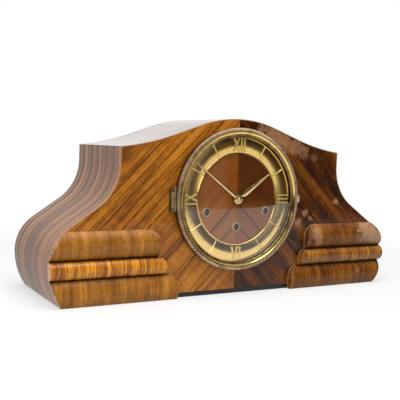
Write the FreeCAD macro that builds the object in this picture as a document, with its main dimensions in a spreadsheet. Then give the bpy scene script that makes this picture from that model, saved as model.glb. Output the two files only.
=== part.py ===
import FreeCAD, Part
import math
import os

import Sketcher

# Tambour mantel clock. The origin is the centre of the base on the table, +Z is up,
# the dial faces -Y and +X is to the right of someone who reads the dial.
# Every size is in millimetres, and angles are in degrees.
SIZES = {
    # Case outline, seen from the front
    "case_depth": 140.0,
    "case_height": 222.0,
    "bulge_half_width": 245.0,
    "foot_inset": 14.0,
    "shoulder_inset": 84.0,
    "crown_radius": 165.0,
    "crown_slope": 19.5,
    "flare_length": 39.2,
    # Case boards
    "wall": 6.0,
    "panel_thickness": 8.0,
    "edge_lip": 1.0,
    "base_thickness": 10.0,
    "plinth_height": 6.0,
    "plinth_recess": 1.5,
    "back_thickness": 5.0,
    "back_recess": 2.0,
    "overrun": 20.0,
    # Mouldings at the foot of the front
    "lower_top": 31.0,
    "middle_top": 53.0,
    "upper_top": 86.0,
    "lower_inner": 85.0,
    "middle_inner": 101.0,
    "upper_inner": 110.0,
    "lower_round": 14.0,
    "middle_round": 12.0,
    "upper_round": 16.0,
    "moulding_root": 1.5,
    "lower_foot": 6.0,
    "lower_belly": 6.0,
    "moulding_belly": 9.0,
    # Dial
    "ring_outer_radius": 79.5,
    "ring_width": 22.0,
    "ring_inner_rim": 1.5,
    "ring_outer_rim": 1.7,
    "ring_inner_rise": 2.0,
    "ring_outer_rise": 3.0,
    "ring_crown": 0.8,
    "ring_step": 0.9,
    "marker_inset": 10.6,
    "marker_seat": 0.9,
    "marker_rise": 2.4,
    "numeral_height": 17.2,
    "numeral_stroke": 1.7,
    "baton_length": 17.2,
    "baton_outer_width": 5.6,
    "baton_inner_width": 3.0,
    "side_hole_x": 44.0,
    "side_hole_drop": 16.0,
    "low_hole_drop": 35.5,
    "key_hole_radius": 4.5,
    "grommet_wall": 0.5,
    "grommet_flange": 5.4,
    "grommet_rise": 0.8,
    "hand_hole_radius": 6.0,
    # Silent lever
    "lever_gap": 2.1,
    "lever_slot_width": 2.0,
    "lever_slot_half": 14.0,
    "lever_travel": 16.0,
    "lever_tongue_width": 1.4,
    "lever_tongue_height": 5.0,
    "lever_tongue_reach": 2.0,
    "lever_plate_width": 7.0,
    "lever_plate_margin": 4.0,
    "lever_plate": 1.2,
    "lever_screw_offset": 14.0,
    # Bezel
    "lip_gap": 0.1,
    "lip_width": 4.4,
    "bezel_crest_width": 2.0,
    "bezel_width": 6.0,
    "bezel_rise": 9.7,
    "bezel_seat": 0.3,
    "rope_belly": 1.6,
    "lip_drop": 2.4,
    "lip_thickness": 1.0,
    "glass_edge_gap": 0.4,
    "glass_thickness": 1.5,
    "glass_rise": 7.0,
    "glass_gap": 0.1,
    "hinge_offset": 3.5,
    "hinge_stand": 3.0,
    "knuckle_radius": 1.8,
    "hinge_pin_radius": 0.8,
    "hinge_half_height": 14.5,
    "hinge_mid_half": 9.35,
    "hinge_gap": 0.15,
    "leaf_width": 3.6,
    "leaf_thickness": 1.0,
    "hinge_arm": 1.6,
    "tab_reach": 3.5,
    "tab_half_height": 4.5,
    "tab_thickness": 1.6,
    "running_gap": 0.05,
    # Hands
    "minute_hand_short": 1.5,
    "minute_hand_width": 3.4,
    "minute_tip_width": 1.0,
    "minute_hand_front": 4.6,
    "hour_hand_short": 1.0,
    "hour_neck_width": 2.6,
    "hour_leaf_width": 7.2,
    "hour_tip_width": 0.8,
    "hour_hand_front": 3.5,
    "hand_thickness": 0.7,
    "hand_boss_radius": 5.2,
    "hour_boss_radius": 6.4,
    "hand_nut_radius": 3.4,
    "hand_nut_height": 2.6,
    "minute_hand_angle": 306.0,
    "hour_hand_angle": 55.5,
    # Movement plates
    "plate_gap_front": 10.0,
    "plate_thickness": 2.5,
    "train_space": 38.0,
    "plate_half_width": 66.0,
    "plate_above": 48.0,
    "plate_below": 54.0,
    "pillar_radius": 3.0,
    "pillar_tenon": 1.8,
    "pillar_upper_x": 58.0,
    "pillar_upper_z": 40.0,
    "pillar_lower_x": 29.0,
    "pillar_lower_z": 48.5,
    "nut_radius": 3.4,
    "nut_height": 2.2,
    "bracket_width": 14.0,
    "bracket_foot": 11.0,
    "bracket_sheet": 1.5,
    "bracket_upper_z": 41.0,
    "bracket_lower_z": 44.0,
    "screw_head_radius": 3.0,
    "screw_head_height": 1.8,
    "screw_shank_radius": 1.4,
    "screw_depth": 6.0,
    # Motion work between the dial and the front plate
    "motion_module": 0.75,
    "motion_pinion_module": 0.6,
    "cannon_length": 3.0,
    "cannon_bore": 1.5,
    "cannon_radius": 2.6,
    "hour_tube_radius": 4.0,
    "motion_sheet": 1.2,
    "motion_stud_radius": 1.5,
    # Going train
    "barrel_module": 0.8,
    "train_module": 0.5,
    "third_module": 0.4,
    "pivot_radius": 0.9,
    "arbor_radius": 1.3,
    "centre_arbor_radius": 1.45,
    "wheel_sheet": 1.4,
    "pinion_length": 4.0,
    "wheel_gap": 1.0,
    "escape_radius": 9.0,
    "escape_root": 6.6,
    "anchor_rise": 13.5,
    "anchor_width": 3.0,
    "anchor_gap": 1.2,
    "pendulum_length": 88.0,
    "bob_radius": 13.0,
    "bob_half_thickness": 3.0,
    "pendulum_rod_radius": 1.1,
    "pendulum_plane": 13.0,
    "rating_nut_radius": 2.6,
    "rating_nut_height": 3.0,
    "cock_half_width": 9.0,
    "cock_height": 7.0,
    "cock_gap": 0.3,
    "cock_reach": 16.0,
    "crutch_radius": 0.8,
    "crutch_drop": 24.0,
    # Barrels and winding
    "drum_radius": 19.5,
    "drum_wall": 1.5,
    "drum_length": 18.0,
    "drum_front_gap": 3.5,
    "winding_arbor_radius": 2.5,
    "winding_square": 4.0,
    "arbor_tip_depth": 4.5,
    "ratchet_radius": 10.5,
    "ratchet_root": 8.6,
    "ratchet_sheet": 1.6,
    "ratchet_lift": 0.4,
    "click_reach": 6.0,
    "click_radius": 2.4,
    "click_gap": 0.4,
    # Strike and chime trains
    "side_wheel_angle": 60.0,
    "fly_angle": 200.0,
    "fly_half_width": 6.2,
    "fly_length": 12.0,
    "fly_sheet": 0.5,
    "drum_body_radius": 9.0,
    "drum_pin_radius": 0.7,
    "drum_pin_rise": 3.0,
    # Hammers and rods
    "first_rod": 21.5,
    "rod_spacing": 7.5,
    "rod_radius": 1.25,
    "rod_drop": 71.0,
    "rod_end_x": 60.0,
    "block_x": 128.0,
    "block_length": 22.0,
    "block_margin": 6.0,
    "block_top": 8.0,
    "hammer_pivot_radius": 19.6,
    "hammer_drop_angle": 10.0,
    "hammer_reach": 30.0,
    "hammer_fall": 10.0,
    "hammer_pin_radius": 1.5,
    "hammer_hub_radius": 3.0,
    "hammer_hub_length": 4.5,
    "hammer_arm_radius": 0.9,
    "hammer_head_radius": 2.9,
    "hammer_head_up": 4.0,
    "hammer_rest_gap": 2.0,
    "tail_gap": 0.4,
    "frame_sheet": 2.0,
    "frame_gap": 2.0,
    "frame_post_radius": 2.5,
    "frame_boss_radius": 3.0,
    # Back door
    "door_half_width": 100.0,
    "door_bottom": 30.0,
    "door_top_margin": 57.0,
    "door_crown": 30.0,
    "door_shoulder": 12.0,
    "door_gap": 1.2,
    "door_pin_inset": 5.0,
    "door_pin_radius": 1.2,
    "door_pin_half_length": 6.0,
    "knob_radius": 7.0,
    "knob_height": 12.0,
    "knob_neck": 3.5,
    "knob_inset": 14.0,
}

# Teeth, copies and chime pins are counts
BARREL_TEETH = 54
SIDE_PINION_TEETH = 12
SECOND_TEETH = 60
CENTRE_PINION_TEETH = 12
CENTRE_TEETH = 60
THIRD_PINION_TEETH = 10
THIRD_TEETH = 50
ESCAPE_PINION_TEETH = 10
ESCAPE_TEETH = 30
SIDE_WHEEL_TEETH = 50
FLY_PINION_TEETH = 10
CANNON_TEETH = 12
MINUTE_WHEEL_TEETH = 36
MINUTE_PINION_TEETH = 12
HOUR_TEETH = 48
RATCHET_TEETH = 20
HAMMER_COUNT = 5
PINS_PER_ROW = 4

# Heights and radii of the case outline, as shares of its height
BULGE_HEIGHT_SHARE = 0.2072
BULGE_RADIUS_SHARE = 0.2342
WAIST_HEIGHT_SHARE = 0.7369
WAIST_RADIUS_SHARE = 0.2815
SHOULDER_HEIGHT_SHARE = 0.8266
DIAL_HEIGHT_SHARE = 0.545045

# Gear tooth form, as shares of the module and of the tooth pitch
ADDENDUM_SHARE = 0.75
DEDENDUM_SHARE = 1.1
TIP_SHARE = 0.15
ROOT_SHARE = 0.26

# Strokes of the raised numerals, as shares of their height: (across, up) to (across, up)
X_STROKE_SHARES = [((-0.23, -0.5), (0.23, 0.5)), ((-0.23, 0.5), (0.23, -0.5))]
V_STROKE_SHARES = [((-0.23, 0.5), (0.0, -0.5)), ((0.23, 0.5), (0.0, -0.5))]
I_STROKE_SHARES = [((0.0, -0.5), (0.0, 0.5))]
# Each numeral is its strokes with the share of the height that they stand off its middle
TWELVE_SHARES = [(X_STROKE_SHARES, -0.29), (I_STROKE_SHARES, 0.14), (I_STROKE_SHARES, 0.40)]
THREE_SHARES = [(I_STROKE_SHARES, -0.28), (I_STROKE_SHARES, 0.0), (I_STROKE_SHARES, 0.28)]
SIX_SHARES = [(V_STROKE_SHARES, -0.16), (I_STROKE_SHARES, 0.30)]
NINE_SHARES = [(I_STROKE_SHARES, -0.30), (X_STROKE_SHARES, 0.16)]

# The widest place of the hour hand, as a share of its length, and where its neck ends
HOUR_LEAF_SHARE = 0.2
HOUR_NECK_SHARE = 0.13


class Size:
    """A length with its value and the sheet expression that gives it."""

    def __init__(self, value, text):
        self.value = value
        self.text = text

    def __add__(self, other):
        other = as_size(other)
        return Size(self.value + other.value, "(%s + %s)" % (self.text, other.text))

    def __sub__(self, other):
        other = as_size(other)
        return Size(self.value - other.value, "(%s - %s)" % (self.text, other.text))

    def __mul__(self, other):
        other = as_size(other)
        return Size(self.value * other.value, "(%s * %s)" % (self.text, other.text))

    def __truediv__(self, other):
        other = as_size(other)
        return Size(self.value / other.value, "(%s / %s)" % (self.text, other.text))

    def __neg__(self):
        return Size(-self.value, "(0 - %s)" % self.text)

    __radd__ = __add__
    __rmul__ = __mul__


def as_size(number):
    """Return number as a Size."""
    if isinstance(number, Size):
        return number
    return Size(float(number), "(%.9f)" % number)


def root(size):
    """Return the square root of a Size."""
    return Size(math.sqrt(size.value), "sqrt(%s)" % size.text)


ZERO = as_size(0)


class SizeSheet:
    """The spreadsheet of driving dimensions, read by name."""

    def __init__(self, document, sizes):
        self.sheet = document.addObject("Spreadsheet::Sheet", "Sizes")
        for row, (name, number) in enumerate(sizes.items(), start=1):
            cell = "B%d" % row
            self.sheet.set("A%d" % row, name)
            self.sheet.set(cell, str(number))
            self.sheet.setAlias(cell, name)
        document.recompute()

    def __getattr__(self, name):
        return Size(float(self.sheet.get(name)), "Sizes." + name)


doc = FreeCAD.newDocument("tambour_mantel_clock")
s = SizeSheet(doc, SIZES)
pieces = []


def vector(x, y, z=0.0):
    """Return a vector of plain values."""
    return FreeCAD.Vector(x, y, z)


def bind(thing, name, size):
    """Tie a property of an object to the sheet."""
    thing.setExpression(name, size.text)


def place(thing, x=ZERO, y=ZERO, z=ZERO):
    """Tie where an object stands to the sheet."""
    bind(thing, "Placement.Base.x", x)
    bind(thing, "Placement.Base.y", y)
    bind(thing, "Placement.Base.z", z)


def finish(thing, label):
    """Name an object as one of the clock's pieces."""
    thing.Label = label
    pieces.append(thing)
    return thing


# Drawing


def arc_middle(start, end, belly):
    """Return the middle of an arc that bulges by belly to the left of its way."""
    across = end - start
    left = vector(-across.y, across.x).normalize()
    return (start + end) / 2 + left * belly


def draw_loop(sketch, points, bellies):
    """Draw a closed loop of lines, and arcs where bellies names an edge, tied to the sheet."""
    corners = [vector(a.value, b.value) for a, b in points]
    edges = []
    for index, start in enumerate(corners):
        end = corners[(index + 1) % len(corners)]
        belly = bellies.get(index)
        if belly is None:
            edge = sketch.addGeometry(Part.LineSegment(start, end))
            edges.append((edge, 1, 2))
            continue
        edge = sketch.addGeometry(Part.Arc(start, arc_middle(start, end, belly.value), end))
        begins = sketch.getPoint(edge, 1)
        forward = begins.distanceToPoint(start) < begins.distanceToPoint(end)
        edges.append((edge, 1, 2) if forward else (edge, 2, 1))
        (ax, ay), (bx, by) = points[index], points[(index + 1) % len(points)]
        chord_squared = (bx - ax) * (bx - ax) + (by - ay) * (by - ay)
        radius = chord_squared / (8 * belly) + belly / 2
        if belly.value < 0:
            radius = -radius
        fixed = sketch.addConstraint(Sketcher.Constraint("Radius", edge, radius.value))
        bind(sketch, "Constraints[%d]" % fixed, radius)
    for index, (edge, first, last) in enumerate(edges):
        for kind, size in zip(("DistanceX", "DistanceY"), points[index]):
            fixed = sketch.addConstraint(Sketcher.Constraint(kind, -1, 1, edge, first, size.value))
            bind(sketch, "Constraints[%d]" % fixed, size)
        after, after_first, _ = edges[(index + 1) % len(edges)]
        sketch.addConstraint(Sketcher.Constraint("Coincident", edge, last, after, after_first))


def draw_circle(sketch, a, b, radius):
    """Draw a circle tied to the sheet."""
    circle = Part.Circle(vector(a.value, b.value), vector(0, 0, 1), radius.value)
    edge = sketch.addGeometry(circle)
    for kind, size in (("DistanceX", a), ("DistanceY", b)):
        fixed = sketch.addConstraint(Sketcher.Constraint(kind, -1, 1, edge, 3, size.value))
        bind(sketch, "Constraints[%d]" % fixed, size)
    fixed = sketch.addConstraint(Sketcher.Constraint("Radius", edge, radius.value))
    bind(sketch, "Constraints[%d]" % fixed, radius)


def body_sketch(body, plane, name):
    """Start a sketch on one of a body's own planes."""
    sketch = body.newObject("Sketcher::SketchObject", name)
    support = [item for item in body.Origin.OriginFeatures if item.Role == plane]
    sketch.AttachmentSupport = [(support[0], "")]
    sketch.MapMode = "FlatFace"
    return sketch


def turned(name, points, bellies=None, plane="XY_Plane"):
    """Turn a profile of (radius, along) points round the axis of its plane: Y, or Z on XZ_Plane."""
    body = doc.addObject("PartDesign::Body", name)
    sketch = body_sketch(body, plane, name + "_profile")
    draw_loop(sketch, points, bellies or {})
    turn = body.newObject("PartDesign::Revolution", name + "_turn")
    turn.Profile = sketch
    turn.ReferenceAxis = (sketch, ["V_Axis"])
    turn.Angle = 360.0
    return body


def flat(name, points, thickness, bellies=None, circles=(), plane="XZ_Plane", inner=()):
    """Cut a flat piece: on XZ_Plane it rises from its plane towards the dial side."""
    body = doc.addObject("PartDesign::Body", name)
    sketch = body_sketch(body, plane, name + "_outline")
    if points:
        draw_loop(sketch, points, bellies or {})
    for loop in inner:
        draw_loop(sketch, loop, {})
    for a, b, radius in circles:
        draw_circle(sketch, a, b, radius)
    pad = body.newObject("PartDesign::Pad", name + "_pad")
    pad.Profile = sketch
    bind(pad, "Length", thickness)
    return body


def rectangle(left, right, low, high):
    """Return the corners of a rectangle."""
    return [(left, low), (right, low), (right, high), (left, high)]


def block(name, x_from, x_to, y_from, y_to, z_from, z_to):
    """Make a square-edged block between six planes."""
    thing = doc.addObject("Part::Box", name)
    bind(thing, "Length", x_to - x_from)
    bind(thing, "Width", y_to - y_from)
    bind(thing, "Height", z_to - z_from)
    place(thing, x_from, y_from, z_from)
    return thing


def rod(name, radius, start, end, x=ZERO, y=ZERO, z=ZERO, axis="Y"):
    """Make a round rod along an axis from start to end."""
    thing = doc.addObject("Part::Cylinder", name)
    bind(thing, "Radius", radius)
    bind(thing, "Height", end - start)
    if axis == "Y":
        thing.Placement.Rotation = FreeCAD.Rotation(vector(1, 0), -90)
        place(thing, x, start, z)
    elif axis == "X":
        thing.Placement.Rotation = FreeCAD.Rotation(vector(0, 1), 90)
        place(thing, start, y, z)
    else:
        place(thing, x, y, start)
    return thing


def cut(name, base, *tools):
    """Cut tools away from a base."""
    thing = doc.addObject("Part::Cut", name)
    thing.Base = base
    thing.Tool = tools[0] if len(tools) == 1 else joined(name + "_tools", *tools)
    return thing


def joined(name, *parts):
    """Fuse parts into one."""
    thing = doc.addObject("Part::MultiFuse", name)
    thing.Shapes = list(parts)
    return thing


def common(name, *parts):
    """Keep what all parts share."""
    thing = doc.addObject("Part::MultiCommon", name)
    thing.Shapes = list(parts)
    return thing


def group(name, *parts):
    """Hold separate solids together as one node."""
    thing = doc.addObject("Part::Compound", name)
    thing.Links = list(parts)
    return thing


def extruded(name, outline, y_from, y_to):
    """Extrude a front-view outline in depth between two planes."""
    thing = doc.addObject("Part::Extrusion", name)
    thing.Base = outline
    thing.DirMode = "Custom"
    thing.Dir = vector(0, 1)
    thing.Solid = True
    bind(thing, "LengthRev", -y_from)
    bind(thing, "LengthFwd", y_to)
    return thing


def shaped(name, shape):
    """Hold a shape that only a formula gives."""
    thing = doc.addObject("Part::Feature", name)
    thing.Shape = shape
    return thing


# Depth planes
front = -(s.case_depth / 2)
back = s.case_depth / 2
panel_back = front + s.panel_thickness
plate_front = panel_back + s.plate_gap_front
plate_inside = plate_front + s.plate_thickness
rear_inside = plate_inside + s.train_space
rear_plate = rear_inside + s.plate_thickness
back_outer = back - s.back_recess
back_inner = back_outer - s.back_thickness
centre_z = s.case_height * DIAL_HEIGHT_SHARE

# Case outline sizes that follow from its width and height
shoulder_half_width = s.bulge_half_width - s.shoulder_inset
shoulder_height = s.case_height * SHOULDER_HEIGHT_SHARE
bulge_height = s.case_height * BULGE_HEIGHT_SHARE
bulge_radius = s.case_height * BULGE_RADIUS_SHARE
waist_height = s.case_height * WAIST_HEIGHT_SHARE
waist_radius = s.case_height * WAIST_RADIUS_SHARE

# The bezel, the glass, the hinge and the lever follow from the chapter ring
ring_inner_radius = s.ring_outer_radius - s.ring_width
marker_radius = s.ring_outer_radius - s.marker_inset
lever_radius = s.ring_outer_radius + s.lever_gap
bezel_lip_radius = s.ring_outer_radius + s.lip_gap
bezel_inner_wall = bezel_lip_radius + s.lip_width
bezel_shoulder = bezel_inner_wall + s.bezel_crest_width
bezel_radius = bezel_inner_wall + s.bezel_width
glass_radius = bezel_inner_wall - s.glass_edge_gap
hinge_x = bezel_radius + s.hinge_offset


# Case outline


def tangent_arc(start, direction, end):
    """Return the arc that leaves start along direction and ends at end."""
    across = end - start
    length = across.Length
    turn = math.atan2(
        direction.x * across.z - direction.z * across.x,
        direction.x * across.x + direction.z * across.z,
    )
    side = FreeCAD.Vector(across.z, 0, -across.x).normalize()
    middle = (start + end) / 2 + side * (length / 2 * math.tan(turn / 2))
    return Part.Arc(start, middle, end)


def leaning_angle(across, up, both_radii):
    """Return how far the line that crosses between two circles leans from upright."""
    return math.atan2(up, across) - math.acos(both_radii / math.hypot(across, up))


def half_outline():
    """Return the edges of the case's right half, from below the floor up to the crown."""
    widest = s.bulge_half_width.value
    swell = bulge_height.value
    inset = s.foot_inset.value
    foot_radius = (inset ** 2 + swell ** 2) / (2 * inset)
    below = 2 * s.wall.value
    reach = math.sqrt(foot_radius ** 2 - (swell + below) ** 2)
    ground = FreeCAD.Vector(widest - foot_radius + reach, 0, -below)
    bulge = FreeCAD.Vector(widest, 0, swell)
    radius = bulge_radius.value
    waist = waist_radius.value
    shoulder_x = shoulder_half_width.value
    bulge_centre_x = widest - radius
    waist_centre_x = shoulder_x + waist
    run = waist_height.value - swell
    turn = leaning_angle(waist_centre_x - bulge_centre_x, run, radius + waist)
    slope_start = FreeCAD.Vector(
        bulge_centre_x + radius * math.cos(turn), 0, swell + radius * math.sin(turn)
    )
    slope_end = FreeCAD.Vector(
        waist_centre_x - waist * math.cos(turn), 0, waist_height.value - waist * math.sin(turn)
    )
    waist_top = FreeCAD.Vector(shoulder_x, 0, waist_height.value)
    shoulder = FreeCAD.Vector(shoulder_x, 0, shoulder_height.value)

    crown = math.radians(s.crown_slope.value)
    crown_radius = s.crown_radius.value
    crown_end = FreeCAD.Vector(
        crown_radius * math.sin(crown), 0, s.case_height.value - crown_radius * (1 - math.cos(crown))
    )
    downhill = FreeCAD.Vector(math.cos(crown), 0, -math.sin(crown))
    flare = crown_end + downhill * s.flare_length.value
    top = FreeCAD.Vector(0, 0, s.case_height.value)
    upward = FreeCAD.Vector(0, 0, 1)
    uphill = (slope_end - slope_start).normalize()
    return [
        tangent_arc(bulge, FreeCAD.Vector(0, 0, -1), ground),
        tangent_arc(bulge, upward, slope_start),
        Part.LineSegment(slope_start, slope_end),
        tangent_arc(slope_end, uphill, waist_top),
        Part.LineSegment(waist_top, shoulder),
        tangent_arc(flare, downhill, shoulder),
        Part.LineSegment(crown_end, flare),
        tangent_arc(top, FreeCAD.Vector(1, 0, 0), crown_end),
    ]


def case_outline():
    """Return the closed outline of the case, which runs on below the floor."""
    edges = []
    for curve in half_outline():
        edge = curve.toShape()
        edges.append(edge)
        edges.append(edge.mirror(FreeCAD.Vector(0, 0, 0), FreeCAD.Vector(1, 0, 0)))
    ground = edges[0].BoundBox
    right = FreeCAD.Vector(ground.XMin, 0, ground.ZMin)
    left = FreeCAD.Vector(-ground.XMin, 0, ground.ZMin)
    edges.append(Part.LineSegment(right, left).toShape())
    return Part.Wire(Part.__sortEdges__(edges))


def offset_outline(name, outline, inward):
    """Return the outline set inwards."""
    thing = doc.addObject("Part::Offset2D", name)
    thing.Source = outline
    thing.Join = "Intersection"
    bind(thing, "Value", -inward)
    return thing


outer = shaped("case_outline", case_outline())
lipped = offset_outline("panel_outline", outer, s.edge_lip)
inner = offset_outline("inside_outline", outer, s.wall)
doc.recompute()

far_x = s.bulge_half_width + s.overrun
far_z = s.case_height + s.overrun


def side_zone(name, sign):
    """Return the space of one side wall, up to the mitre at the shoulder."""
    edge_x = shoulder_half_width
    mitre = 3 * s.wall
    points = [
        (sign * edge_x, shoulder_height),
        (sign * (edge_x - mitre), shoulder_height - mitre),
        (sign * (edge_x - mitre), ZERO),
        (sign * far_x, ZERO),
        (sign * far_x, shoulder_height),
    ]
    zone = flat(name, points, s.case_depth + 2 * s.overrun)
    place(zone, y=back + s.overrun)
    return zone


def case_walls():
    """Build the two bent side walls and the arched top, mitred at the shoulders."""
    solid = extruded("case_solid", outer, front, back)
    hollow = extruded("case_hollow", inner, panel_back, back + s.overrun)
    rebate = extruded("panel_rebate", lipped, front - s.overrun, panel_back)
    ring = cut("case_ring", solid, hollow, rebate)
    left = side_zone("left_zone", -1)
    right = side_zone("right_zone", 1)
    floor = block(
        "under_floor", -far_x, far_x, front - s.overrun, back + s.overrun, -s.overrun, ZERO
    )
    finish(common("left_wall", ring, left), "left_side")
    finish(common("right_wall", ring, right), "right_side")
    finish(cut("arch", ring, left, right, floor), "top_arch")


def winding_places():
    """Return where the three winding arbors stand, by train, from the dial's centre."""
    return {
        "time": (ZERO, -s.low_hole_drop),
        "strike": (-s.side_hole_x, -s.side_hole_drop),
        "chime": (s.side_hole_x, -s.side_hole_drop),
    }


def case_boards():
    """Build the front panel, the base board and the back panel."""
    blank = extruded("panel_blank", lipped, front, panel_back)
    lower = block(
        "below_panel", -far_x, far_x, front - s.overrun, panel_back + s.overrun, -s.overrun,
        s.plinth_height,
    )
    holes = [rod("hand_hole", s.hand_hole_radius, front - s.overrun, panel_back + s.overrun,
                 z=centre_z)]
    for train, (x, z) in winding_places().items():
        holes.append(rod(train + "_hole", s.key_hole_radius + s.grommet_wall, front - s.overrun,
                         panel_back + s.overrun, x=x, z=centre_z + z))
    slot = block(
        "lever_slot", lever_radius - s.lever_slot_width / 2,
        lever_radius + s.lever_slot_width / 2, front - s.overrun, panel_back + s.overrun,
        centre_z - s.lever_slot_half, centre_z + s.lever_slot_half,
    )
    shanks = [rod("panel_bore_%d" % index, s.screw_shank_radius, panel_back - s.screw_depth,
                  panel_back, x=x, z=z) for index, (x, z, _) in enumerate(screw_places())]
    finish(cut("panel", blank, lower, slot, *holes, *shanks), "front_panel")

    inside = extruded("base_inside", inner, panel_back, back - s.back_recess)
    board = common("base_board_solid", inside, block(
        "base_slab", -far_x, far_x, front, back, ZERO, s.base_thickness))
    strip_outline = extruded("plinth_outline", lipped, front + s.plinth_recess, panel_back)
    strip = common("plinth_strip", strip_outline, block(
        "plinth_slab", -far_x, far_x, front, back, ZERO, s.plinth_height))
    finish(joined("base", board, strip), "base_board")

    board = extruded("back_blank", inner, back_inner, back_outer)
    below = block(
        "below_back", -far_x, far_x, back_inner - s.overrun, back_outer + s.overrun,
        -s.overrun, s.base_thickness,
    )
    opening = flat("door_opening", door_outline(ZERO), s.back_thickness + 2 * s.overrun,
                   {3: -s.door_crown})
    place(opening, y=back_outer + s.overrun)
    pins = [rod("pin_seat_%d" % index, s.door_pin_radius, low, high, x=door_pin_x,
                y=door_mid_y, axis="Z") for index, (low, high) in enumerate(door_pin_spans())]
    finish(cut("back_board", board, below, opening, *pins), "back_panel")


# Back door

door_side_top = s.case_height - s.door_top_margin
door_pin_x = s.door_half_width - s.door_pin_inset
door_mid_y = back_outer - s.back_thickness / 2


def door_outline(gap):
    """Return the corners of the door, or of its opening where gap is zero."""
    half = s.door_half_width - gap
    arch = s.door_half_width - s.door_shoulder
    return [
        (-half, s.door_bottom + gap),
        (half, s.door_bottom + gap),
        (half, door_side_top - gap),
        (arch, door_side_top - gap),
        (-arch, door_side_top - gap),
        (-half, door_side_top - gap),
    ]


def door_pin_spans():
    """Return the lowest and highest point of the two pivot pins of the door."""
    low = s.door_bottom
    high = door_side_top
    return [
        (low - s.door_pin_half_length, low + s.door_pin_half_length),
        (high - s.door_pin_half_length, high + s.door_pin_half_length),
    ]


def back_door():
    """Build the back door with its pivot pins and its turned knob."""
    leaf = flat("door_leaf", door_outline(s.door_gap), s.back_thickness, {3: -s.door_crown})
    place(leaf, y=back_outer)
    seats = [rod("door_seat_%d" % index, s.door_pin_radius + s.running_gap, low, high,
                 x=door_pin_x, y=door_mid_y, axis="Z")
             for index, (low, high) in enumerate(door_pin_spans())]
    finish(cut("door", leaf, *seats), "back_door")
    pins = [rod("door_pin_%d" % index, s.door_pin_radius, low, high, x=door_pin_x,
                y=door_mid_y, axis="Z") for index, (low, high) in enumerate(door_pin_spans())]
    finish(group("door_pins", *pins), "door_pivots")
    knob = turned("knob", [
        (ZERO, ZERO),
        (s.knob_neck, ZERO),
        (s.knob_neck, s.knob_height / 3),
        (s.knob_radius, s.knob_height / 2),
        (s.knob_radius, 3 * s.knob_height / 4),
        (s.knob_neck, s.knob_height),
        (ZERO, s.knob_height),
    ], {4: -(s.knob_height / 12)})
    place(knob, -(s.door_half_width - s.knob_inset), back_outer, s.case_height / 2)
    finish(knob, "door_knob")


# Mouldings


def moulding(side, sign, level, low, high, inner_x, corner, foot, belly):
    """Build one rounded moulding, cut to the case's outline at its outer end."""
    name = "%s_%s" % (level, side)
    section = doc.addObject("Sketcher::SketchObject", name + "_section")
    section.Placement = FreeCAD.Placement(
        vector(0, 0), FreeCAD.Rotation(FreeCAD.Vector(1, 1, 1), 120)
    )
    points = [
        (front, low),
        (front, high),
        (front - s.moulding_root, high),
        (front - foot, low),
    ]
    draw_loop(section, points, {2: -belly})
    bar = doc.addObject("Part::Extrusion", name + "_bar")
    bar.Base = section
    bar.DirMode = "Custom"
    bar.Dir = vector(1, 0)
    bar.Solid = True
    bind(bar, "LengthFwd", far_x)
    bind(bar, "LengthRev", far_x)
    corners = [
        (sign * inner_x, low),
        (sign * inner_x, high - corner),
        (sign * (inner_x + corner), high),
        (sign * far_x, high),
        (sign * far_x, low),
    ]
    belly_share = 1 - 1 / math.sqrt(2)
    view = flat(name + "_view", corners, s.case_depth,
                {1: (sign * belly_share) * corner})
    place(view, y=front)
    finish(common(name + "_cut", bar, view, moulding_outline), "%s_%s_moulding" % (level, side))


def mouldings():
    """Build the three stacked mouldings at each side."""
    rows = [
        ("lower", ZERO, s.lower_top, s.lower_inner, s.lower_round, s.lower_foot, s.lower_belly),
        ("middle", s.lower_top, s.middle_top, s.middle_inner, s.middle_round, s.moulding_root,
         s.moulding_belly),
        ("upper", s.middle_top, s.upper_top, s.upper_inner, s.upper_round, s.moulding_root,
         s.moulding_belly),
    ]
    for side, sign in (("left", -1), ("right", 1)):
        for level, low, high, inner_x, corner, foot, belly in rows:
            moulding(side, sign, level, low, high, inner_x, corner, foot, belly)


moulding_outline = extruded("moulding_outline", outer, front - s.overrun, front)


# Dial


def chapter_ring():
    """Build the crowned brass ring with its two raised rims."""
    inner_top = front - s.ring_inner_rise
    outer_top = front - s.ring_outer_rise
    ring = turned("ring", [
        (ring_inner_radius, front),
        (ring_inner_radius, inner_top),
        (ring_inner_radius + s.ring_inner_rim, inner_top),
        (ring_inner_radius + s.ring_inner_rim, inner_top + s.ring_step),
        (s.ring_outer_radius - s.ring_outer_rim, outer_top + s.ring_step),
        (s.ring_outer_radius - s.ring_outer_rim, outer_top),
        (s.ring_outer_radius, outer_top),
        (s.ring_outer_radius, front),
    ], {3: ZERO - s.ring_crown})
    place(ring, z=centre_z)
    return finish(ring, "chapter_ring")


def stroke(start, end, width, low, high):
    """Return a straight raised bar between two points of the dial's plane."""
    along = end - start
    across = FreeCAD.Vector(-along.z, 0, along.x).normalize() * (width / 2)
    corners = [start - across, end - across, end + across, start + across]
    corners = [FreeCAD.Vector(point.x, low, point.z) for point in corners]
    face = Part.Face(Part.makePolygon(corners + corners[:1]))
    return face.extrude(FreeCAD.Vector(0, high - low, 0))


def numeral(glyph_shares, hour, upward):
    """Return one raised Roman numeral at its hour, its top pointing upward."""
    height = s.numeral_height.value
    radius = marker_radius.value
    angle = math.radians(30 * hour)
    centre = FreeCAD.Vector(radius * math.sin(angle), 0, centre_z.value + radius * math.cos(angle))
    right = FreeCAD.Vector(upward.z, 0, -upward.x)
    low = front.value - s.marker_seat.value
    high = low - s.marker_rise.value
    strokes = []
    for stroke_shares, offset_share in glyph_shares:
        for start_shares, end_shares in stroke_shares:
            ends = []
            for across_share, up_share in (start_shares, end_shares):
                ends.append(centre + right * ((across_share + offset_share) * height)
                            + upward * (up_share * height))
            strokes.append(stroke(ends[0], ends[1], s.numeral_stroke.value, low, high))
    return strokes


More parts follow.
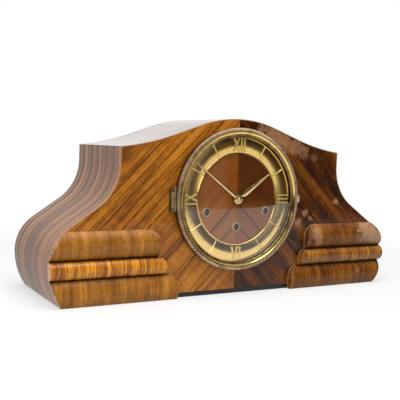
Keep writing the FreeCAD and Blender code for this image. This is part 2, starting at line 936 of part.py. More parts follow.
def merged(shapes):
    """Fuse shapes that cross, and return the solids that are left."""
    return shapes[0].multiFuse(shapes[1:]).removeSplitter().Solids


def baton(hour):
    """Return one tapered ridge baton, wider at its outer end."""
    angle = math.radians(30 * hour)
    outward = FreeCAD.Vector(math.sin(angle), 0, math.cos(angle))
    across = FreeCAD.Vector(math.cos(angle), 0, -math.sin(angle))
    centre = FreeCAD.Vector(0, front.value - s.marker_seat.value, centre_z.value)
    outer_end = marker_radius.value + s.baton_length.value / 2
    inner_end = marker_radius.value - s.baton_length.value / 2
    ridge = FreeCAD.Vector(0, -s.marker_rise.value, 0)
    sections = []
    for radius, width in ((outer_end, s.baton_outer_width.value),
                          (inner_end, s.baton_inner_width.value)):
        middle = centre + outward * radius
        left = middle - across * (width / 2)
        right = middle + across * (width / 2)
        sections.append(Part.makePolygon([left, right, middle + ridge, left]))
    return Part.makeLoft(sections, True, True)


def hour_markers(ring):
    """Build the raised numerals at the quarters and the batons between them, seated on the ring."""
    numerals = [
        (TWELVE_SHARES, 12, FreeCAD.Vector(0, 0, 1)),
        (THREE_SHARES, 3, FreeCAD.Vector(1, 0, 0)),
        (SIX_SHARES, 6, FreeCAD.Vector(0, 0, 1)),
        (NINE_SHARES, 9, FreeCAD.Vector(-1, 0, 0)),
    ]
    solids = []
    for glyph_shares, hour, upward in numerals:
        solids += merged(numeral(glyph_shares, hour, upward))
    for hour in range(1, 12):
        if hour % 3:
            solids.append(baton(hour))
    finish(cut("seated_markers", shaped("markers", Part.makeCompound(solids)), ring),
           "hour_markers")


def grommets():
    """Build the brass eyelets that line the three winding holes."""
    rings = []
    for train, (x, z) in winding_places().items():
        tube = s.key_hole_radius + s.grommet_wall
        ring = turned(train + "_grommet", [
            (s.key_hole_radius, panel_back),
            (s.key_hole_radius, front - s.grommet_rise),
            (s.grommet_flange - s.grommet_rise / 2, front - s.grommet_rise),
            (s.grommet_flange, front),
            (tube, front),
            (tube, panel_back),
        ])
        place(ring, x, ZERO, centre_z + z)
        rings.append(ring)
    finish(group("grommets", *rings), "winding_grommets")


def silent_lever():
    """Build the sliding plate whose tongue shows in the slot beside the dial."""
    half = s.lever_plate_width / 2
    rest = -(s.lever_travel / 2)
    top = s.lever_screw_offset + s.lever_plate_margin
    radius = s.screw_shank_radius + s.running_gap
    slots = []
    for sign in (-1, 1):
        level = sign * s.lever_screw_offset
        slots.append(rectangle(-radius, radius, level - s.lever_travel - radius, level + radius))
    plate = flat("lever_plate", rectangle(-half, half, -(top + s.lever_travel), top),
                 s.lever_plate, inner=slots)
    place(plate, lever_radius, panel_back + s.lever_plate, centre_z)
    tongue = block(
        "lever_tongue", lever_radius - s.lever_tongue_width / 2,
        lever_radius + s.lever_tongue_width / 2, front - s.lever_tongue_reach,
        panel_back + s.lever_plate, centre_z + rest - s.lever_tongue_height / 2,
        centre_z + rest + s.lever_tongue_height / 2,
    )
    finish(joined("lever", plate, tongue), "silent_lever")


# Bezel


hinge_y = front - s.hinge_stand
hinge_left = -hinge_x


def bezel_hinge_leaf():
    """Build the leaf on the panel with its two end knuckles and the pin."""
    leaf = block(
        "leaf_sheet", hinge_left - s.leaf_width, hinge_left + s.knuckle_radius,
        front - s.leaf_thickness, front, centre_z - s.hinge_half_height,
        centre_z + s.hinge_half_height,
    )
    parts = [leaf]
    for sign, name in ((-1, "low"), (1, "high")):
        start = centre_z + sign * (s.hinge_mid_half + s.hinge_gap)
        end = centre_z + sign * s.hinge_half_height
        low, high = (end, start) if sign < 0 else (start, end)
        parts.append(rod(name + "_knuckle", s.knuckle_radius, low, high, x=hinge_left,
                         y=hinge_y, axis="Z"))
        parts.append(block(name + "_web", hinge_left - s.knuckle_radius,
                           hinge_left + s.hinge_pin_radius, hinge_y, front, low, high))
    pin = rod("hinge_pin", s.hinge_pin_radius, centre_z - s.hinge_half_height - s.leaf_thickness,
              centre_z + s.hinge_half_height + s.leaf_thickness, x=hinge_left, y=hinge_y,
              axis="Z")
    finish(joined("hinge_leaf", pin, *parts), "bezel_hinge_leaf")


def bezel_ring():
    """Build the bezel with its rope rim, polished lip, hinge knuckle and pull tab."""
    seat = front - s.bezel_seat
    crest = front - s.bezel_rise
    lip_front = crest + s.lip_drop
    hoop = turned("bezel_hoop", [
        (bezel_radius, seat),
        (bezel_radius, seat - s.bezel_rise / 3),
        (bezel_shoulder, crest),
        (bezel_inner_wall, crest),
        (bezel_lip_radius, lip_front),
        (bezel_lip_radius, lip_front + s.lip_thickness),
        (bezel_inner_wall, lip_front + s.lip_thickness),
        (bezel_inner_wall, seat),
    ], {1: s.rope_belly})
    place(hoop, z=centre_z)
    knuckle = rod("mid_knuckle", s.knuckle_radius, centre_z - s.hinge_mid_half,
                  centre_z + s.hinge_mid_half, x=hinge_left, y=hinge_y, axis="Z")
    arm = block(
        "knuckle_arm", hinge_left, -(bezel_shoulder), hinge_y - s.knuckle_radius,
        hinge_y - s.knuckle_radius + s.hinge_arm, centre_z - s.hinge_mid_half,
        centre_z + s.hinge_mid_half,
    )
    tab = block(
        "pull_tab", bezel_shoulder, bezel_radius + s.tab_reach, hinge_y - s.tab_thickness,
        hinge_y, centre_z - s.tab_half_height, centre_z + s.tab_half_height,
    )
    bore = rod("knuckle_bore", s.hinge_pin_radius + s.running_gap,
               centre_z - s.hinge_half_height, centre_z + s.hinge_half_height, x=hinge_left,
               y=hinge_y, axis="Z")
    solid = joined("bezel_solid", hoop, knuckle, arm, tab)
    finish(cut("bezel", solid, bore), "bezel_ring")


def bezel_glass():
    """Build the domed glass that lies against the back of the bezel's lip."""
    rest = front - s.bezel_rise + s.lip_drop + s.lip_thickness
    edge = bezel_lip_radius - s.glass_gap
    glass = turned("glass", [
        (ZERO, rest + s.glass_thickness - s.glass_rise),
        (ZERO, rest - s.glass_rise),
        (edge, rest),
        (glass_radius, rest),
        (glass_radius, rest + s.glass_thickness),
        (edge, rest + s.glass_thickness),
    ], dome_bellies(edge))
    place(glass, z=centre_z)
    finish(glass, "bezel_glass")


def dome_bellies(edge):
    """Return the bulge of the half arcs of the glass, as its outline goes out and back."""
    radius = (edge * edge + s.glass_rise * s.glass_rise) / (2 * s.glass_rise)
    half_chord = root(edge * edge + s.glass_rise * s.glass_rise) / 2
    belly = radius - root(radius * radius - half_chord * half_chord)
    return {1: -belly, 5: belly}


# Gears


def toothed(teeth, module, phase, y_from, y_to, x, z):
    """Return a gear whose first tooth stands at phase, an angle from +X towards +Z."""
    pitch_radius = teeth * module / 2
    tip = pitch_radius + ADDENDUM_SHARE * module
    base = pitch_radius - DEDENDUM_SHARE * module
    pitch = 2 * math.pi / teeth
    corners = []
    for index in range(teeth):
        middle = phase + index * pitch
        for radius, turn in ((base, -ROOT_SHARE), (tip, -TIP_SHARE), (tip, TIP_SHARE),
                             (base, ROOT_SHARE)):
            angle = middle + turn * pitch
            corners.append(FreeCAD.Vector(
                x + radius * math.cos(angle), y_from, z + radius * math.sin(angle)))
    face = Part.Face(Part.makePolygon(corners + corners[:1]))
    return face.extrude(FreeCAD.Vector(0, y_to - y_from, 0))


def post(radius, y_from, y_to, x, z):
    """Return a round shape along Y."""
    return Part.makeCylinder(radius, y_to - y_from, FreeCAD.Vector(x, y_from, z),
                             FreeCAD.Vector(0, 1, 0))


def facing(start, end):
    """Return the angle of the way from one arbor to another."""
    return math.atan2(end[1] - start[1], end[0] - start[0])


def gap_phase(teeth, start, end):
    """Return the phase of a pinion at end whose gap faces the tooth of a wheel at start."""
    return facing(end, start) + math.pi / teeth


def polar(origin, distance, degrees):
    """Return the place at a distance and angle from another."""
    angle = math.radians(degrees)
    return (origin[0] + distance * math.cos(angle), origin[1] + distance * math.sin(angle))


def mesh_distance(first, second, module):
    """Return how far apart two meshing gears stand."""
    return (first + second) * module / 2


def arbor_shape(x, z, radius=None):
    """Return an arbor between the plates with its two thinner pivots."""
    gap = s.running_gap.value
    body = post(radius or s.arbor_radius.value, plate_inside.value + gap,
                rear_inside.value - gap, x, z)
    pivots = post(s.pivot_radius.value, plate_front.value, rear_plate.value, x, z)
    return body.fuse(pivots)


def meeting(first, first_distance, second, second_distance, side):
    """Return the place at two distances from two others, on the left for side -1."""
    apart = math.hypot(second[0] - first[0], second[1] - first[1])
    along = (first_distance ** 2 - second_distance ** 2 + apart ** 2) / (2 * apart)
    off = math.sqrt(first_distance ** 2 - along ** 2)
    ux, uz = (second[0] - first[0]) / apart, (second[1] - first[1]) / apart
    return (first[0] + along * ux + side * off * uz, first[1] + along * uz - side * off * ux)


CENTRE = (0.0, centre_z.value)
BARRELS = {train: (x.value, (centre_z + z).value) for train, (x, z) in winding_places().items()}

barrel_mesh = mesh_distance(BARREL_TEETH, SIDE_PINION_TEETH, s.barrel_module.value)
second_mesh = mesh_distance(SECOND_TEETH, CENTRE_PINION_TEETH, s.train_module.value)
third_mesh = mesh_distance(CENTRE_TEETH, THIRD_PINION_TEETH, s.train_module.value)
escape_mesh = mesh_distance(THIRD_TEETH, ESCAPE_PINION_TEETH, s.third_module.value)
fly_mesh = mesh_distance(SIDE_WHEEL_TEETH, FLY_PINION_TEETH, s.train_module.value)

SECOND = meeting(BARRELS["time"], barrel_mesh, CENTRE, second_mesh, -1)
THIRD = polar(CENTRE, third_mesh, 120)
ESCAPE = (0.0, THIRD[1] + math.sqrt(escape_mesh ** 2 - THIRD[0] ** 2))
PALLET = (0.0, ESCAPE[1] + s.anchor_rise.value)
SIDE_WHEELS = {
    "strike": polar(BARRELS["strike"], barrel_mesh, 180 + s.side_wheel_angle.value),
    "chime": polar(BARRELS["chime"], barrel_mesh, -s.side_wheel_angle.value),
}
FLIES = {
    "strike": polar(SIDE_WHEELS["strike"], fly_mesh, 180 - s.fly_angle.value),
    "chime": polar(SIDE_WHEELS["chime"], fly_mesh, s.fly_angle.value),
}

# Levels in depth: barrels in front, then the wheels one behind the other
drum_front = plate_inside.value + s.drum_front_gap.value
drum_back = drum_front + s.drum_length.value
great_back = drum_back + s.wheel_sheet.value
first_level = great_back + s.wheel_gap.value + s.wheel_sheet.value
second_level = first_level + s.wheel_sheet.value + s.wheel_gap.value
third_level = second_level + s.wheel_sheet.value + s.wheel_gap.value


# Movement frame


def movement_plates():
    """Build the two brass plates with a bore for each arbor and pillar."""
    bores = []
    for x, z in arbor_places():
        bores.append((x, z, s.pivot_radius.value + s.running_gap.value))
    for x, z in BARRELS.values():
        bores.append((x, z, s.winding_arbor_radius.value + s.running_gap.value))
    bores.append((CENTRE[0], CENTRE[1], s.centre_arbor_radius.value + s.running_gap.value))
    for x, z in pillar_places():
        bores.append((x, z, s.pillar_tenon.value))
    for name, label, rear in (("front_sheet", "front_plate", plate_inside),
                              ("rear_sheet", "back_plate", rear_plate)):
        circles = [(as_size(x), as_size(z), as_size(radius)) for x, z, radius in bores]
        if label == "back_plate":
            x, z = frame_post()
            circles.append((as_size(x), as_size(z), s.pillar_tenon))
        sheet = flat(name, rectangle(-s.plate_half_width, s.plate_half_width,
                                     centre_z - s.plate_below, centre_z + s.plate_above),
                     s.plate_thickness, circles=circles)
        place(sheet, y=rear)
        finish(sheet, label)


def arbor_places():
    """Return the arbors that turn between the plates on thin pivots."""
    return [SECOND, THIRD, ESCAPE, PALLET, *SIDE_WHEELS.values(), *FLIES.values()]


def pillar_places():
    """Return the four pillars."""
    upper = (s.pillar_upper_x.value, centre_z.value + s.pillar_upper_z.value)
    lower = (s.pillar_lower_x.value, centre_z.value - s.pillar_lower_z.value)
    return [upper, (-upper[0], upper[1]), lower, (-lower[0], lower[1])]


def pillars():
    """Build the pillars between the plates, with a nut behind each."""
    solids = []
    for index, (x, z) in enumerate(pillar_places()):
        pillar = turned("pillar_%d" % index, [
            (ZERO, plate_front),
            (s.pillar_tenon, plate_front),
            (s.pillar_tenon, plate_inside),
            (s.pillar_radius, plate_inside),
            (s.pillar_radius, rear_inside),
            (s.pillar_tenon, rear_inside),
            (s.pillar_tenon, rear_plate + s.nut_height),
            (ZERO, rear_plate + s.nut_height),
        ])
        place(pillar, as_size(x), ZERO, as_size(z))
        nut = turned("pillar_nut_%d" % index, [
            (s.pillar_tenon, rear_plate),
            (s.nut_radius, rear_plate),
            (s.nut_radius, rear_plate + s.nut_height),
            (s.pillar_tenon, rear_plate + s.nut_height),
        ])
        place(nut, as_size(x), ZERO, as_size(z))
        solids += [pillar, nut]
    finish(group("pillar_group", *solids), "plate_pillars")


def bracket_places():
    """Return the side and the height of the four brackets."""
    return [(sign, centre_z + level) for sign in (-1, 1)
            for level in (s.bracket_upper_z, -s.bracket_lower_z)]


def screw_places():
    """Return each wood screw in the panel, with the plane that its head lies on."""
    foot_x = s.plate_half_width + s.bracket_foot / 2 + s.bracket_sheet / 2
    places = [(sign * foot_x, z, panel_back + s.bracket_sheet) for sign, z in bracket_places()]
    for sign in (-1, 1):
        places.append((lever_radius, centre_z + sign * s.lever_screw_offset,
                       panel_back + s.lever_plate + s.running_gap))
    return places


def brackets():
    """Build the four angle brackets that carry the movement on the panel's back."""
    solids = []
    for index, (sign, z) in enumerate(bracket_places()):
        half = s.bracket_width / 2
        edge = sign * s.plate_half_width
        web_far = sign * (s.plate_half_width + s.bracket_sheet)
        foot_far = sign * (s.plate_half_width + s.bracket_foot)
        web = block("bracket_web_%d" % index, *ordered(edge, web_far), panel_back, plate_inside,
                    z - half, z + half)
        foot = block("bracket_foot_%d" % index, *ordered(edge, foot_far), panel_back,
                     panel_back + s.bracket_sheet, z - half, z + half)
        x, _, _ = screw_places()[index]
        hole = rod("bracket_hole_%d" % index, s.screw_shank_radius, panel_back,
                   panel_back + s.bracket_sheet, x=x, z=z)
        angle = joined("bracket_angle_%d" % index, web, foot)
        solids.append(cut("bracket_%d" % index, angle, hole))
    finish(group("bracket_group", *solids), "movement_brackets")


def ordered(first, second):
    """Return two sizes with the lower one first."""
    return (first, second) if first.value < second.value else (second, first)


def wood_screws():
    """Build the wood screws in the back of the panel."""
    screws = []
    for index, (x, z, seat) in enumerate(screw_places()):
        screw = turned("screw_%d" % index, [
            (ZERO, panel_back - s.screw_depth),
            (s.screw_shank_radius, panel_back - s.screw_depth),
            (s.screw_shank_radius, seat),
            (s.screw_head_radius, seat),
            (s.screw_head_radius, seat + s.screw_head_height / 2),
            (ZERO, seat + s.screw_head_height),
        ])
        place(screw, x, ZERO, z)
        screws.append(screw)
    finish(group("screw_group", *screws), "wood_screws")


# Hands and motion work

motion_mesh = mesh_distance(CANNON_TEETH, MINUTE_WHEEL_TEETH, s.motion_module.value)
MINUTE_WHEEL = (motion_mesh, centre_z.value)
cannon_front = front - s.minute_hand_front
motion_rear = plate_front.value - s.wheel_gap.value


def hand(name, label, points, boss, bore, y_front, degrees):
    """Build a hand that points up and turn it to its place on the dial."""
    blade = flat(name + "_blade", points, s.hand_thickness)
    disc = flat(name + "_boss", None, s.hand_thickness, circles=[(ZERO, ZERO, boss)])
    hole = flat(name + "_bore", None, s.hand_thickness, circles=[(ZERO, ZERO, bore)])
    solid = joined(name + "_solid", blade, disc)
    thing = cut(name, solid, hole)
    thing.Placement.Rotation = FreeCAD.Rotation(vector(0, 1), degrees.value)
    place(thing, ZERO, y_front + s.hand_thickness, centre_z)
    finish(thing, label)


def hands():
    """Build the two hands and the domed nut."""
    minute_length = s.ring_outer_radius - s.minute_hand_short
    hour_length = ring_inner_radius - s.hour_hand_short
    half = s.minute_hand_width / 2
    tip = s.minute_tip_width / 2
    hand("minute", "minute_hand", [
        (-half, ZERO),
        (half, ZERO),
        (tip, minute_length),
        (-tip, minute_length),
    ], s.hand_boss_radius, s.cannon_radius, front - s.minute_hand_front, s.minute_hand_angle)
    neck = s.hour_neck_width / 2
    leaf = s.hour_leaf_width / 2
    tip = s.hour_tip_width / 2
    neck_end = hour_length * HOUR_NECK_SHARE
    widest = hour_length * HOUR_LEAF_SHARE
    hand("hour", "hour_hand", [
        (-neck, ZERO),
        (neck, ZERO),
        (neck, neck_end),
        (leaf, widest),
        (tip, hour_length),
        (-tip, hour_length),
        (-leaf, widest),
        (-neck, neck_end),
    ], s.hour_boss_radius, s.hour_tube_radius, front - s.hour_hand_front, s.hour_hand_angle)
    seat = front - s.minute_hand_front
    nut = turned("nut", [
        (s.centre_arbor_radius, seat),
        (s.centre_arbor_radius, seat - s.hand_nut_height),
        (s.hand_nut_radius, seat - s.hand_nut_height / 2),
        (s.hand_nut_radius, seat),
    ], {1: s.hand_nut_height / 6})
    place(nut, z=centre_z)
    finish(nut, "hand_nut")


def motion_work():
    """Build the cannon pinion, the minute wheel and the hour wheel."""
    x, z = CENTRE
    wheel_x, wheel_z = MINUTE_WHEEL
    tooth_rear = motion_rear
    tooth_front = tooth_rear - s.cannon_length.value
    sheet = s.motion_sheet.value
    gap = s.wheel_gap.value / 2
    module = s.motion_module.value
    pinion_module = s.motion_pinion_module.value

    leaves = toothed(CANNON_TEETH, module, facing(CENTRE, MINUTE_WHEEL), tooth_front, tooth_rear,
                     x, z)
    tube = post(s.cannon_radius.value, cannon_front.value, tooth_rear, x, z)
    bore = post(s.cannon_bore.value, cannon_front.value, tooth_rear, x, z)
    finish(shaped("cannon", leaves.fuse(tube).cut(bore)), "cannon_pinion")

    wheel_rear = tooth_rear - gap
    wheel_front = wheel_rear - sheet
    phase = gap_phase(MINUTE_WHEEL_TEETH, CENTRE, MINUTE_WHEEL)
    wheel = toothed(MINUTE_WHEEL_TEETH, module, phase, wheel_front, wheel_rear, wheel_x, wheel_z)
    pinion_front = wheel_front - s.cannon_length.value
    pinion = toothed(MINUTE_PINION_TEETH, pinion_module, facing(MINUTE_WHEEL, CENTRE),
                     pinion_front, wheel_front, wheel_x, wheel_z)
    stud = post(s.motion_stud_radius.value, wheel_rear, plate_front.value, wheel_x, wheel_z)
    finish(shaped("minute_work", wheel.fuse(pinion).fuse(stud)), "minute_wheel")

    hour_rear = tooth_front - gap
    hour_front = hour_rear - sheet
    phase = gap_phase(HOUR_TEETH, MINUTE_WHEEL, CENTRE)
    wheel = toothed(HOUR_TEETH, pinion_module, phase, hour_front, hour_rear, x, z)
    tube = post(s.hour_tube_radius.value, (front - s.hour_hand_front).value, hour_rear, x, z)
    bore = post(s.cannon_radius.value + s.running_gap.value, (front - s.overrun).value,
                hour_rear, x, z)
    finish(shaped("hour_work", wheel.fuse(tube).cut(bore)), "hour_wheel")


# Going train


def going_train():
    """Build the centre, second, third and escape wheels with their pinions."""
    sheet = s.wheel_sheet.value
    module = s.train_module.value
    pinion_rear = great_back + s.wheel_gap.value / 2
    pinion_front = drum_back - s.wheel_gap.value / 2

    phase = gap_phase(SIDE_PINION_TEETH, BARRELS["time"], SECOND)
    pinion = toothed(SIDE_PINION_TEETH, s.barrel_module.value, phase, pinion_front, pinion_rear,
                     *SECOND)
    wheel = toothed(SECOND_TEETH, module, facing(SECOND, CENTRE), first_level,
                    first_level + sheet, *SECOND)
    finish(shaped("second", arbor_shape(*SECOND).fuse([pinion, wheel])), "second_wheel")

    x, z = CENTRE
    radius = s.centre_arbor_radius.value
    arbor = post(radius, (front - s.minute_hand_front - s.hand_nut_height).value,
                 rear_plate.value, x, z)
    phase = gap_phase(CENTRE_PINION_TEETH, SECOND, CENTRE)
    pinion = toothed(CENTRE_PINION_TEETH, module, phase, first_level, first_level + sheet, x, z)
    wheel = toothed(CENTRE_TEETH, module, facing(CENTRE, THIRD), second_level,
                    second_level + sheet, x, z)
    finish(shaped("centre", arbor.fuse([pinion, wheel])), "centre_wheel")

    phase = gap_phase(THIRD_PINION_TEETH, CENTRE, THIRD)
    pinion = toothed(THIRD_PINION_TEETH, module, phase, second_level, second_level + sheet,
                     *THIRD)
    wheel = toothed(THIRD_TEETH, s.third_module.value, facing(THIRD, ESCAPE), third_level,
                    third_level + sheet, *THIRD)
    finish(shaped("third", arbor_shape(*THIRD).fuse([pinion, wheel])), "third_wheel")

    phase = gap_phase(ESCAPE_PINION_TEETH, THIRD, ESCAPE)
    pinion = toothed(ESCAPE_PINION_TEETH, s.third_module.value, phase, third_level,
                     third_level + sheet, *ESCAPE)
    wheel = ratchet_face(ESCAPE_TEETH, s.escape_radius.value, s.escape_root.value, 0.0,
                         first_level, first_level + sheet, *ESCAPE)
    finish(shaped("escape", arbor_shape(*ESCAPE).fuse([pinion, wheel])), "escape_wheel")


def ratchet_face(teeth, tip, base, phase, y_from, y_to, x, z):
    """Return a wheel of saw teeth."""
    pitch = 2 * math.pi / teeth
    corners = []
    for index in range(teeth):
        angle = phase + index * pitch
        for radius, turn in ((base, 0.0), (tip, TIP_SHARE / 2), (tip, TIP_SHARE)):
            corners.append(FreeCAD.Vector(
                x + radius * math.cos(angle + turn * pitch), y_from,
                z + radius * math.sin(angle + turn * pitch)))
    face = Part.Face(Part.makePolygon(corners + corners[:1]))
    return face.extrude(FreeCAD.Vector(0, y_to - y_from, 0))


def anchor():
    """Build the anchor with its arbor and the crutch behind the back plate."""
    x, z = PALLET
    clear = s.escape_radius.value + s.anchor_gap.value
    width = s.anchor_width.value
    y_from, y_to = first_level, first_level + s.wheel_sheet.value
    outer_arc = post(clear + width, y_from, y_to, *ESCAPE)
    hollow = post(clear, y_from, y_to, *ESCAPE)
    half = clear + width
    keep = Part.makeBox(2 * half, y_to - y_from, half,
                        FreeCAD.Vector(x - half, y_from, ESCAPE[1] + clear / 2))
    yoke = outer_arc.cut(hollow).common(keep)
    hub = post(2 * s.arbor_radius.value, y_from, y_to, x, z)
    crutch_rear = rear_plate.value + s.pendulum_plane.value - s.pendulum_rod_radius.value
    crutch_y = crutch_rear - s.crutch_radius.value - s.cock_gap.value
    tail = post(s.pivot_radius.value, rear_inside.value, crutch_y, x, z)
    drop = Part.makeCylinder(s.crutch_radius.value,
                             s.crutch_drop.value + s.pivot_radius.value / 2,
                             FreeCAD.Vector(x, crutch_y, z - s.crutch_drop.value))
    finish(shaped("anchor_solid", yoke.fuse([hub, arbor_shape(x, z), tail, drop])), "anchor")


def pendulum():
    """Build the pendulum: suspension strip, rod, lens-shaped bob and rating nut."""
    x, z = PALLET
    y = rear_plate.value + s.pendulum_plane.value
    pivot_z = as_size(z)
    bob_z = pivot_z - s.pendulum_length
    rod_low = bob_z - s.bob_radius - s.rating_nut_height
    stem = rod("pendulum_rod", s.pendulum_rod_radius, rod_low, pivot_z + s.pivot_radius,
               y=as_size(y), axis="Z")
    half = s.bob_half_thickness
    bob = turned("bob", [
        (ZERO, -half),
        (s.bob_radius, -(half / 6)),
        (s.bob_radius, half / 6),
        (ZERO, half),
    ], {0: half / 4, 2: half / 4})
    place(bob, ZERO, as_size(y), bob_z)
    nut = rod("rating_nut", s.rating_nut_radius, rod_low, rod_low + s.rating_nut_height,
              y=as_size(y), axis="Z")
    finish(joined("pendulum_solid", stem, bob, nut), "pendulum")

    cock_low = pivot_z + s.pivot_radius + s.cock_gap
    cock = block("cock_block", -s.cock_half_width, s.cock_half_width, rear_plate,
                 rear_plate + s.cock_reach, cock_low, cock_low + s.cock_height)
    finish(cock, "pendulum_cock")


# Barrels and winding


def barrels():
    """Build the three toothed barrels, hollow for their springs."""
    aims = {"time": SECOND, "strike": SIDE_WHEELS["strike"], "chime": SIDE_WHEELS["chime"]}
    wall = s.drum_wall.value
    radius = s.drum_radius.value
    bore = s.winding_arbor_radius.value + s.running_gap.value
    for train, place_xz in BARRELS.items():
        drum = post(radius, drum_front, drum_back, *place_xz)
        room = post(radius - wall, drum_front + wall, drum_back - wall, *place_xz)
        wheel = toothed(BARREL_TEETH, s.barrel_module.value, facing(place_xz, aims[train]),
                        drum_back, great_back, *place_xz)
        hole = post(bore, drum_front, great_back, *place_xz)
        finish(shaped(train + "_drum", drum.fuse(wheel).cut(room).cut(hole)), train + "_barrel")


def winding_arbors():
    """Build the three winding arbors, each with its square and its ratchet wheel."""
    tip = front + s.arbor_tip_depth
    square = s.winding_square / 2
    for train, (x, z) in winding_places().items():
        place_xz = BARRELS[train]
        body = rod(train + "_shaft", s.winding_arbor_radius, plate_front, rear_plate, x=x,
                   z=centre_z + z)
        end = block(train + "_square", x - square, x + square, tip, plate_front,
                    centre_z + z - square, centre_z + z + square)
        rear = (plate_front - s.ratchet_lift).value
        wheel = shaped(train + "_ratchet", ratchet_face(
            RATCHET_TEETH, s.ratchet_radius.value, s.ratchet_root.value, 0.0,
            rear - s.ratchet_sheet.value, rear, *place_xz))
        finish(joined(train + "_winder", body, end, wheel), train + "_winding_arbor")


def clicks():
    """Build the click of each ratchet, pivoted on the front plate."""
    solids = []
    rear = plate_front.value
    sheet_front = rear - s.ratchet_lift.value - s.ratchet_sheet.value
    pitch = 2 * math.pi / RATCHET_TEETH
    for x, z in BARRELS.values():
        reach = s.ratchet_radius.value + s.click_reach.value
        angle = math.pi / 2 if x else math.pi / 2 * 3
        angle += pitch / 2
        pivot = (x + reach * math.cos(angle), z + reach * math.sin(angle))
        boss = post(s.click_radius.value, sheet_front, rear, *pivot)
        tip = s.ratchet_radius.value + s.click_gap.value
        start = FreeCAD.Vector(pivot[0], 0, pivot[1])
        end = FreeCAD.Vector(x + tip * math.cos(angle), 0, z + tip * math.sin(angle))
        nose = stroke(start, end, s.click_radius.value, sheet_front,
                      sheet_front + s.ratchet_sheet.value)
        solids.append(boss.fuse(nose))
    finish(shaped("click_group", Part.makeCompound(solids)), "winding_clicks")


# Strike and chime


def side_trains():
    """Build the wheel and the fly of the strike and chime trains."""
    sheet = s.wheel_sheet.value
    pinion_rear = great_back + s.wheel_gap.value / 2
    pinion_front = drum_back - s.wheel_gap.value / 2
    for train in ("strike", "chime"):
        spot = SIDE_WHEELS[train]
        fly_spot = FLIES[train]
        phase = gap_phase(SIDE_PINION_TEETH, BARRELS[train], spot)
        pinion = toothed(SIDE_PINION_TEETH, s.barrel_module.value, phase, pinion_front,
                         pinion_rear, *spot)
        wheel = toothed(SIDE_WHEEL_TEETH, s.train_module.value, facing(spot, fly_spot),
                        first_level, first_level + sheet, *spot)
        parts = [pinion, wheel]
        if train == "chime":
            parts.append(post(s.pivot_radius.value, rear_inside.value,
                              frame_inside.value + s.frame_sheet.value, *spot))
        finish(shaped(train + "_train", arbor_shape(*spot).fuse(parts)), train + "_wheel")

        phase = gap_phase(FLY_PINION_TEETH, spot, fly_spot)
        pinion = toothed(FLY_PINION_TEETH, s.train_module.value, phase, first_level,
                         first_level + sheet, *fly_spot)
        half = s.fly_half_width.value
        thin = s.fly_sheet.value
        vane_front = drum_front + s.wheel_gap.value
        vane = Part.makeBox(2 * half, s.fly_length.value, thin, FreeCAD.Vector(
            fly_spot[0] - half, vane_front, fly_spot[1] - thin / 2))
        finish(shaped(train + "_vane", arbor_shape(*fly_spot).fuse([pinion, vane])),
               train + "_fly")


rod_height = centre_z - s.rod_drop
first_rod_y = rear_plate + s.first_rod
last_rod_y = first_rod_y + (HAMMER_COUNT - 1) * s.rod_spacing
frame_inside = last_rod_y + s.hammer_hub_length / 2 + s.frame_gap


def hammer_pivot():
    """Return where the hammers' pin stands."""
    return polar(SIDE_WHEELS["chime"], s.hammer_pivot_radius.value, -s.hammer_drop_angle.value)


def frame_post():
    """Return where the post of the hammer frame stands, above the pin."""
    x, z = hammer_pivot()
    return (s.plate_half_width.value - s.nut_radius.value,
            z + 2 * s.hammer_pivot_radius.value)


def chime_drum():
    """Build the pin drum with one row of pins for each hammer."""
    x, z = SIDE_WHEELS["chime"]
    start = first_rod_y.value - s.rod_spacing.value / 2
    end = last_rod_y.value + s.rod_spacing.value / 2 - s.frame_gap.value / 2
    drum = post(s.drum_body_radius.value, start, end, x, z)
    pins = []
    reach = s.drum_body_radius.value + s.drum_pin_rise.value
    for row in range(HAMMER_COUNT):
        y = first_rod_y.value + row * s.rod_spacing.value
        for index in range(PINS_PER_ROW):
            angle = 2 * math.pi * (index + row / HAMMER_COUNT) / PINS_PER_ROW
            aim = FreeCAD.Vector(math.cos(angle), 0, math.sin(angle))
            pins.append(Part.makeCylinder(s.drum_pin_radius.value, reach,
                                          FreeCAD.Vector(x, y, z), aim))
    bore = post(s.pivot_radius.value, start, end, x, z)
    finish(shaped("pin_drum", drum.fuse(pins).cut(bore)), "chime_drum")


def hammers():
    """Build the five hammers on their common pin."""
    x, z = hammer_pivot()
    pivot = FreeCAD.Vector(x, 0, z)
    drum_x, drum_z = SIDE_WHEELS["chime"]
    towards = FreeCAD.Vector(drum_x - x, 0, drum_z - z).normalize()
    pin_circle = s.drum_body_radius.value + s.drum_pin_rise.value
    tail_length = s.hammer_pivot_radius.value - pin_circle - s.tail_gap.value
    head_x = x + s.hammer_reach.value
    head_z = z - s.hammer_fall.value
    head_low = rod_height.value + s.rod_radius.value + s.hammer_rest_gap.value
    for index in range(HAMMER_COUNT):
        y = first_rod_y.value + index * s.rod_spacing.value
        half = s.hammer_hub_length.value / 2
        hub = post(s.hammer_hub_radius.value, y - half, y + half, x, z)
        at_row = FreeCAD.Vector(0, y, 0)
        arm_end = FreeCAD.Vector(head_x, 0, head_z)
        arm_way = arm_end - pivot
        arm = Part.makeCylinder(s.hammer_arm_radius.value, arm_way.Length, pivot + at_row,
                                arm_way)
        tail = Part.makeCylinder(s.hammer_arm_radius.value, tail_length, pivot + at_row, towards)
        head = Part.makeCylinder(
            s.hammer_head_radius.value, head_z + s.hammer_head_up.value - head_low,
            FreeCAD.Vector(head_x, y, head_low))
        bore = post(s.hammer_pin_radius.value + s.running_gap.value, y - half, y + half, x, z)
        solid = hub.fuse([arm, tail, head]).cut(bore)
        finish(shaped("hammer_solid_%d" % (index + 1), solid), "hammer_%d" % (index + 1))


